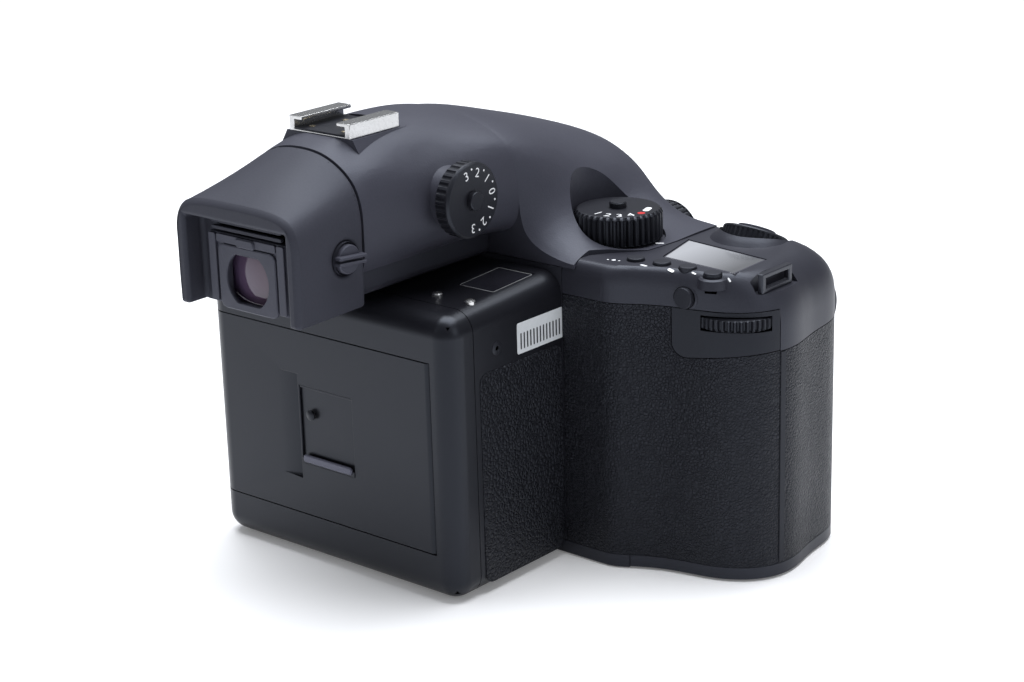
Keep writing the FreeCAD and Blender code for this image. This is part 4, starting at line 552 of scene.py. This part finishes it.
# Exposure compensation dial: a ribbed knob on the finder's side with a lock button in its middle.
# Moulded black plastic with white printed figures; a white dot on the housing is its index.
def printing(name, dark, light, rough=0.45, cloud=1800.0, **coat):
    """Ink, paper or lacquer: two near colours in a fine cloud."""
    finish = Finish(name)
    finish.colour(finish.noise(cloud), dark, light)
    finish.set(Roughness=rough, **coat)
    return finish


white_print = printing("white_print", (0.66, 0.67, 0.69, 1), (0.8, 0.81, 0.83, 1))
dressed("compensation_dial", dial_black, ease=0.2)
dressed("compensation_button", dial_black, ease=0.4)


FIGURE_RISE, MARK_RISE, END_ROUND = 0.012, 0.03, 0.49


def figure(name, text, size, place, body):
    """A printed numeral, raised by a hair: the outline of its glyph as a thin mesh."""
    curve = bpy.data.curves.new(name, "FONT")
    curve.body = text
    curve.size = size * MM
    curve.extrude = FIGURE_RISE * MM
    curve.align_x, curve.align_y = "CENTER", "CENTER"
    curve.resolution_u = 3
    draft = bpy.data.objects.new(name + "_draft", curve)
    bpy.context.scene.collection.objects.link(draft)
    bpy.context.view_layer.update()
    mesh = bpy.data.meshes.new_from_object(draft)
    bpy.data.objects.remove(draft)
    mesh.transform(Matrix.Translation(place.translation * MM) @ place.to_3x3().to_4x4())
    piece = linked(name, mesh, white_print)
    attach(piece, body)


def mark(name, width, height, place, finish=white_print, body="camera_body", slot="control_black"):
    """A small printed bar or dot: a rounded loop a few hundredths of a millimetre high."""
    loop = rounded_loop(width, height, min(width, height) * END_ROUND, 4)
    surface(name, stacked((loop, -MARK_RISE), (loop, MARK_RISE)), place, finish, body)


SCALE_CENTRE, SCALE_STEP, SCALE_START = Vector((33.2, -47.0, 105.2)), 34, 8
FIGURE_REACH, DOT_REACH = 7.4, 8.6


def on_scale(step, reach):
    """The place on the dial's face at a number of steps from its middle figure."""
    turn = radians(step * SCALE_STEP + SCALE_START)
    ray = Vector((0, np.cos(turn), np.sin(turn)))
    return facing(SCALE_CENTRE + ray * reach, (1, 0, 0), ray)


for index, text in enumerate(("3", "2", "1", "0", "1", "2", "3")):
    figure(f"compensation_figure_{index}", text, 3.6, on_scale(index - 3, FIGURE_REACH), "compensation_dial")
for index in range(6):
    mark(f"compensation_dot_{index}", 0.6, 0.6, on_scale(index - 2.5, DOT_REACH), body="compensation_dial")
spot, out = landing("top_cover", (60, -35.1, 106.6), (-1, 0, 0))
mark("compensation_index", 1.4, 1.4, facing(spot, out, (0, 0, 1)))

# Mode dial: a deep fluted knob with a raised lock button, sunk in a well of the top cover.
# Moulded black plastic; four white figures, a red dot and a white bar are printed near its rim.
red_print = printing("red_print", (0.4, 0.01, 0.012, 1), (0.55, 0.02, 0.02, 1))
TALLER = 1.3
low, high, middle = span("mode_dial")
DIAL_RADIUS, DIAL_RISE = (high[0] - low[0]) / 2, high[2] - low[2] + TALLER
dial_place = facing((middle[0], middle[1], low[2]), *UPWARD)


def ribbed(profile, ribs, depth):
    """A ribbed wheel: a turned form of (radius, height, share), whose radius is drawn in by depth * share
    in grooves with flat floors, where the cosine of ribs * t is low."""
    turn = np.linspace(0, 2 * np.pi, ribs * 8, endpoint=False)
    radius, height, share = np.array(profile, float).T[:, :, None]
    reach = radius - depth * share * np.clip(0.5 - 1.3 * np.cos(ribs * turn), 0, 1)
    return np.stack([reach * np.cos(turn), reach * np.sin(turn), height + 0 * turn], -1)


wheel = surface("mode_wheel", ribbed([(DIAL_RADIUS - 1.2, 0, 0), (DIAL_RADIUS - 0.5, 0.4, 0),
                                      (DIAL_RADIUS, 0.6, 1), (DIAL_RADIUS, DIAL_RISE - 1.3, 1),
                                      (DIAL_RADIUS - 0.2, DIAL_RISE - 0.8, 0.6),
                                      (DIAL_RADIUS - 1.0, DIAL_RISE - 0.1, 0),
                                      (DIAL_RADIUS - 1.4, DIAL_RISE, 0), (0.01, DIAL_RISE, 0)],
                                     ribs=38, depth=0.9),
                dial_place, dial_black, "mode_dial", angle=35.0)
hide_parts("mode_dial")
cap = surface("mode_lock_cap", turned([(2.4, DIAL_RISE - 3), (2.4, DIAL_RISE + 1.4), (2.1, DIAL_RISE + 1.75),
                                       (0.01, DIAL_RISE + 1.8)]),
              dial_place, dial_black, BODY_OF["mode_dial_button"], angle=40.0)
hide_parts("mode_dial_button")
for index, (turn, reach) in enumerate(((-94, 8.3), (-71, 8.8), (-50, 9.2), (-30, 9.2), (-9, 9.3), (18, 8.6))):
    ray = Vector((np.cos(radians(turn)), np.sin(radians(turn)), 0))
    place = facing(dial_place @ (ray * reach + Vector((0, 0, DIAL_RISE))), (0, 0, 1), -ray)
    if index < 4:
        figure(f"mode_figure_{index}", str(index + 1), 4.2, place, "mode_dial")
    else:
        size, ink = ((2.2, 2.2), red_print) if index == 4 else ((4.2, 1.8), white_print)
        mark(f"mode_mark_{index}", *size, place, ink, "mode_dial")
spot, out = on_top("top_cover", 59.3, 0.0)
mark("mode_index", 2.4, 0.8, facing(spot, out, (-0.65, 0.75, 0)))

# Function buttons, lock button and their white marks on the rear edge of the grip's deck.
# Moulded plastic caps in bored holes; the fourth stands on a boss, and a collar rings the lock button.
button_black = moulded("button_black", tone=0.012, rough=0.5, grain=2600.0)
for index in range(4):
    dressed(f"function_button_{index + 1}", button_black, ease=0.35)
dressed("exposure_lock_button", button_black, ease=0.3)
DECK_MARKS = ((56.8, -20.0, 0.6, 0.6), (58.4, -19.5, 1.2, 1.2), (60.0, -19.2, 0.6, 0.6),
              (68.1, -19.0, 2.3, 0.9), (75.9, -17.4, 2.1, 0.9), (82.4, -16.0, 1.5, 0.5),
              (90.0, -14.2, 0.7, 0.7), (91.5, -12.8, 1.3, 0.5))
for index, (x, y, width, height) in enumerate(DECK_MARKS):
    spot, out = on_top("grip_top_cover", x, y)
    mark(f"deck_mark_{index}", width, height, facing(spot, out, (0.1, 1, 0)))
CAP_PROUD, LOCK_CLEARANCE = 1.3, 0.4
_, lock_high, (lock_x, _, lock_z) = span("exposure_lock_button")
low, high, middle = span("function_button_4")
cap_radius, boss_top = (high[0] - low[0]) / 2, high[2] - CAP_PROUD
boss_foot = lock_high[2] + LOCK_CLEARANCE - boss_top
surface("function_boss", turned([(cap_radius + 0.25, boss_foot), (cap_radius + 0.25, -0.1),
                                 (cap_radius + 0.9, 0), (cap_radius + 1.5, -0.4),
                                 (cap_radius + 1.9, boss_foot)], 40),
        facing((middle[0], middle[1], boss_top), *UPWARD), deck_plastic, "camera_body",
        joined=True)
spot, _ = landing("grip_top_cover", (lock_x + 4.3, -60, lock_z), (0, 1, 0))
surface("lock_button_collar", turned([(3.1, -0.5), (3.1, 0.3), (3.35, 0.5), (3.75, 0.3), (3.9, -0.5)], 40),
        facing((lock_x, spot.y, lock_z), *REARWARD), deck_plastic, "camera_body", joined=True)

# Dials of the grip: rear dial under the thumb, front dial under the finger, both ribbed wheels.
# Moulded plastic on steel pins; the drive ring and the shutter button sit in the round seat.
low, high, middle = span("rear_dial")
wheel_radius, wheel_top = (high[0] - low[0]) / 2, high[2] - low[2]
wheel = surface("rear_wheel", ribbed([(wheel_radius - 0.9, 0, 0), (wheel_radius - 0.2, 0.3, 0),
                                      (wheel_radius, 0.5, 1), (wheel_radius, wheel_top - 0.5, 1),
                                      (wheel_radius - 0.2, wheel_top - 0.3, 0),
                                      (wheel_radius - 0.9, wheel_top, 0), (0.01, wheel_top, 0)],
                                     ribs=44, depth=0.75),
                facing((middle[0], middle[1], low[2]), *UPWARD), dial_black, "rear_dial",
                angle=35.0)
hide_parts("rear_dial")
dressed("front_dial", dial_black, ease=0.12)
dressed("drive_ring", dial_black, ease=0.12)
dressed("shutter_button", moulded("shutter_grey", tone=0.03, rough=0.4, grain=2600.0), ease=0.3)
dressed("mirror_up_knob", dial_black, ease=0.12)
dressed("battery_lock", dial_black, ease=0.2)

# Strap lugs: black lacquered steel loops, riveted into pockets at both shoulders.
# The loop stands upright and carries a flat strap.
dressed("strap_lugs", moulded("lug_lacquer", tone=0.014, rough=0.35, gloss=0.5), ease=0.35)

# Lens mount: a turned and plated steel ring with three bayonet tabs, five screws and a release.
# The ring is screwed to the casting; a red dot on the cover is the index for the lens.
dressed("lens_mount_ring", chrome, ease=0.15)
dressed("mount_screws", steel, ease=0.1)
dressed("lens_release_button", dial_black, ease=0.3)
FORWARD = ((0, 1, 0), (0, 0, 1))
mark("lens_index", 1.8, 1.8, facing((0, 29.0, 78.9), *FORWARD), red_print)

# Film magazine: a moulded shell with a rear cap and a hinged door, clipped on behind the mirror box.
# Satin black plastic; the door has a thumb ramp cut in beside its memo clip, whose foot has a grey lip.
# Two domed studs and the counter window are on top, leatherette and a paper label on the sides.
satin_black = moulded("satin_black", tone=0.0065, rough=0.33, grain=3600.0, strength=0.2, gloss=0.3)
dressed("magazine_cap", satin_black, ease=0.35)
dressed("magazine_housing", satin_black, ease=0.35)
RAMP_FOOT, RAMP_TOP = 24.0, 54.6
RAMP = np.array([(-19.2, -0.02), (-12.1, 1.5), (-12.0, -1.0), (-19.2, -1.0)])
door_back, _ = landing("magazine_door", (-15, -100, 40), (0, 1, 0))
dressed("magazine_door", satin_black, ease=0.25,
        cutter=looped("ramp_cutter", stacked((RAMP, RAMP_FOOT), (RAMP, RAMP_TOP)),
                      Matrix.Translation((0, door_back.y, 0))))
dressed("door_latch", dial_black, ease=0.2)
dressed("memo_clip", satin_black, ease=0.15)
low, high, middle = span("memo_clip")
panel("memo_clip_lip", high[0] - low[0] - 1.5, 2.2, 0.8, 0.6,
      facing((middle[0], low[1], low[2] + 1.6), *REARWARD), moulded("lip_grey", tone=0.09, rough=0.4),
      BODY_OF["memo_clip"], ease=0.3)
surface("memo_clip_stud", turned([(1.5, -0.1), (1.5, 0.25), (1.1, 0.5), (0.01, 0.6)], 32),
        facing((-7.2, low[1], 43.5), *REARWARD), satin_black, BODY_OF["memo_clip"])
dome = turned([(1.55, -1.0), (1.55, -0.1), (1.3, 0.2), (0.7, 0.4), (0.01, 0.45)], 32)
for index, x in enumerate((28.0, 39.5)):
    spot, _ = on_top("magazine_pins", x, -57.0)
    stud = surface(f"magazine_stud_{index}", dome, facing(spot, *UPWARD), chrome,
                   BODY_OF["magazine_pins"])
    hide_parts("magazine_pins")
dressed("film_insert", casting_black, ease=0.0)
dressed("feed_spool", dial_black, ease=0.0)
dressed("take_up_spool", dial_black, ease=0.0)
dressed("dark_slide", steel, ease=0.1)
dressed("door_hinge_pin", steel, ease=0.0)
counter = printing("counter_cover", shade(0.010), shade(0.016), rough=0.12, cloud=90.0, Coat_Weight=0.8,
                   Coat_Roughness=0.06)
dressed("magazine_window", counter, ease=0.1)
line_grey = printing("line_grey", (0.16, 0.165, 0.17, 1), (0.22, 0.225, 0.23, 1), rough=0.4, cloud=900.0)
spot, out = on_top("magazine_window", 33.2, -39.0)
outer, inner = rounded_loop(12.2, 16.6, 0.6, 4), rounded_loop(11.7, 16.1, 0.4, 4)
surface("window_line", stacked((outer, -0.05), (outer, 0.04), (inner, 0.04), (inner, -0.05)),
        facing(spot, out, (0, 1, 0)), line_grey, "magazine", joined=True)
(LEFT_SIDE, _, _), (RIGHT_SIDE, _, _), _ = span("magazine_housing")
panel("magazine_leather_right", 34.0, 60.0, 3.0, 0.3, facing((RIGHT_SIDE, -43.5, 32.5), *OUTWARD),
      leather_sheet, "magazine")
panel("magazine_leather_left", 34.0, 18.0, 2.0, 0.3, facing((LEFT_SIDE, -43.5, 11.0), *LEFTWARD),
      leather_sheet, "magazine")
label_white = printing("label_white", (0.5, 0.52, 0.54, 1), (0.6, 0.62, 0.64, 1), rough=0.35, cloud=900.0)
label_ink = printing("label_ink", (0.02, 0.02, 0.024, 1), (0.035, 0.035, 0.04, 1), rough=0.5, cloud=900.0)
LABEL_THICK, BARS, BAR_START, BAR_STEP = 0.08, 13, -43.4, 1.35
panel("magazine_label", 19.5, 8.7, 0.6, LABEL_THICK, facing((RIGHT_SIDE, -35.2, 68.3), *OUTWARD), label_white,
      "magazine", ease=0.03)
for index in range(BARS):
    mark(f"label_bar_{index}", 0.55, 4.6,
         facing((RIGHT_SIDE + LABEL_THICK, BAR_START + index * BAR_STEP, 67.4), *OUTWARD),
         label_ink, "magazine", "magazine_black")
surface("magazine_screw", turned([(1.9, -0.2), (1.9, 0.1), (1.6, 0.25), (0.7, 0.25), (0.6, 0.0)], 32),
        facing((RIGHT_SIDE, -53.3, 68.1), *OUTWARD), dial_black, "magazine")

# Studio: the camera repeats the photograph's viewing angle; a pale floor carries the shadow.
# A large soft lamp above gives the tops their light; the sides get little.
AZIMUTH, ELEVATION, ROLL = radians(40.766), radians(18.175), radians(-1.637)
back = Vector((np.sin(AZIMUTH) * np.cos(ELEVATION), -np.cos(AZIMUTH) * np.cos(ELEVATION), np.sin(ELEVATION)))
right = Vector((np.cos(AZIMUTH), np.sin(AZIMUTH), 0.0))
up = back.cross(right)
EYE, FOCAL_LENGTH, SENSOR_WIDTH = Vector((0.42127, -0.48324, 0.25752)), 80.02, 36.0
camera = bpy.data.objects.new("photo_camera", bpy.data.cameras.new("photo_camera"))
camera.data.sensor_width = SENSOR_WIDTH
camera.data.lens = FOCAL_LENGTH
camera.data.clip_start = 0.01
view = Matrix((right * np.cos(ROLL) + up * np.sin(ROLL), up * np.cos(ROLL) - right * np.sin(ROLL), back))
view = view.transposed().to_4x4()
view.translation = EYE
camera.matrix_world = view
bpy.context.scene.collection.objects.link(camera)
bpy.context.scene.camera = camera

FLOOR_REACH, FLOOR_HEIGHT = 1.4, -0.0004
floor_mesh = bpy.data.meshes.new("floor")
floor_mesh.from_pydata([(x * FLOOR_REACH, y * FLOOR_REACH, FLOOR_HEIGHT)
                        for x, y in ((-1, -1), (1, -1), (1, 1), (-1, 1))], [], [(0, 1, 2, 3)])
ground = Finish("floor_white")
ground.set(Base_Color=(0.93, 0.93, 0.94, 1.0), Roughness=0.35, Emission_Color=(1.0, 1.0, 1.0, 1.0),
           Emission_Strength=0.12)
linked("floor", floor_mesh, ground)

SKY_COLOUR, SKY_LIGHT, SKY_SEEN = (0.92, 0.95, 1.0, 1.0), 0.24, 0.9
world = bpy.data.worlds.new("studio")
bpy.context.scene.world = world
world.use_nodes = True
nodes, links = world.node_tree.nodes, world.node_tree.links
seen = nodes.new("ShaderNodeMath")
seen.operation = "MULTIPLY_ADD"
links.new(nodes.new("ShaderNodeLightPath").outputs["Is Camera Ray"], seen.inputs[0])
seen.inputs[1].default_value = SKY_SEEN
seen.inputs[2].default_value = SKY_LIGHT
sky = nodes["Background"]
sky.inputs["Color"].default_value = SKY_COLOUR
links.new(seen.outputs[0], sky.inputs["Strength"])


def softbox(name, place, target, width, height, power):
    """A rectangular area light that looks at a point: metres and watts."""
    lamp = bpy.data.lights.new(name, "AREA")
    lamp.shape = "RECTANGLE"
    lamp.size, lamp.size_y = width, height
    lamp.energy = power
    lamp.color = (0.95, 0.97, 1.0)
    holder = bpy.data.objects.new(name, lamp)
    look = (Vector(target) - Vector(place)).to_track_quat("-Z", "Y").to_matrix().to_4x4()
    holder.matrix_world = Matrix.Translation(Vector(place)) @ look
    bpy.context.scene.collection.objects.link(holder)


BODY_MIDDLE, GRIP_MIDDLE = (0, -0.02, 0.06), (0.05, 0, 0.05)
softbox("light_top", (-0.1, 0.25, 1.4), BODY_MIDDLE, width=1.5, height=1.2, power=44)
softbox("light_left", (-0.9, -1.1, 0.8), BODY_MIDDLE, width=1.0, height=0.9, power=3)
softbox("light_right", (1.3, -0.1, 0.7), GRIP_MIDDLE, width=0.6, height=0.9, power=3)
bpy.context.scene.view_settings.view_transform = "Standard"
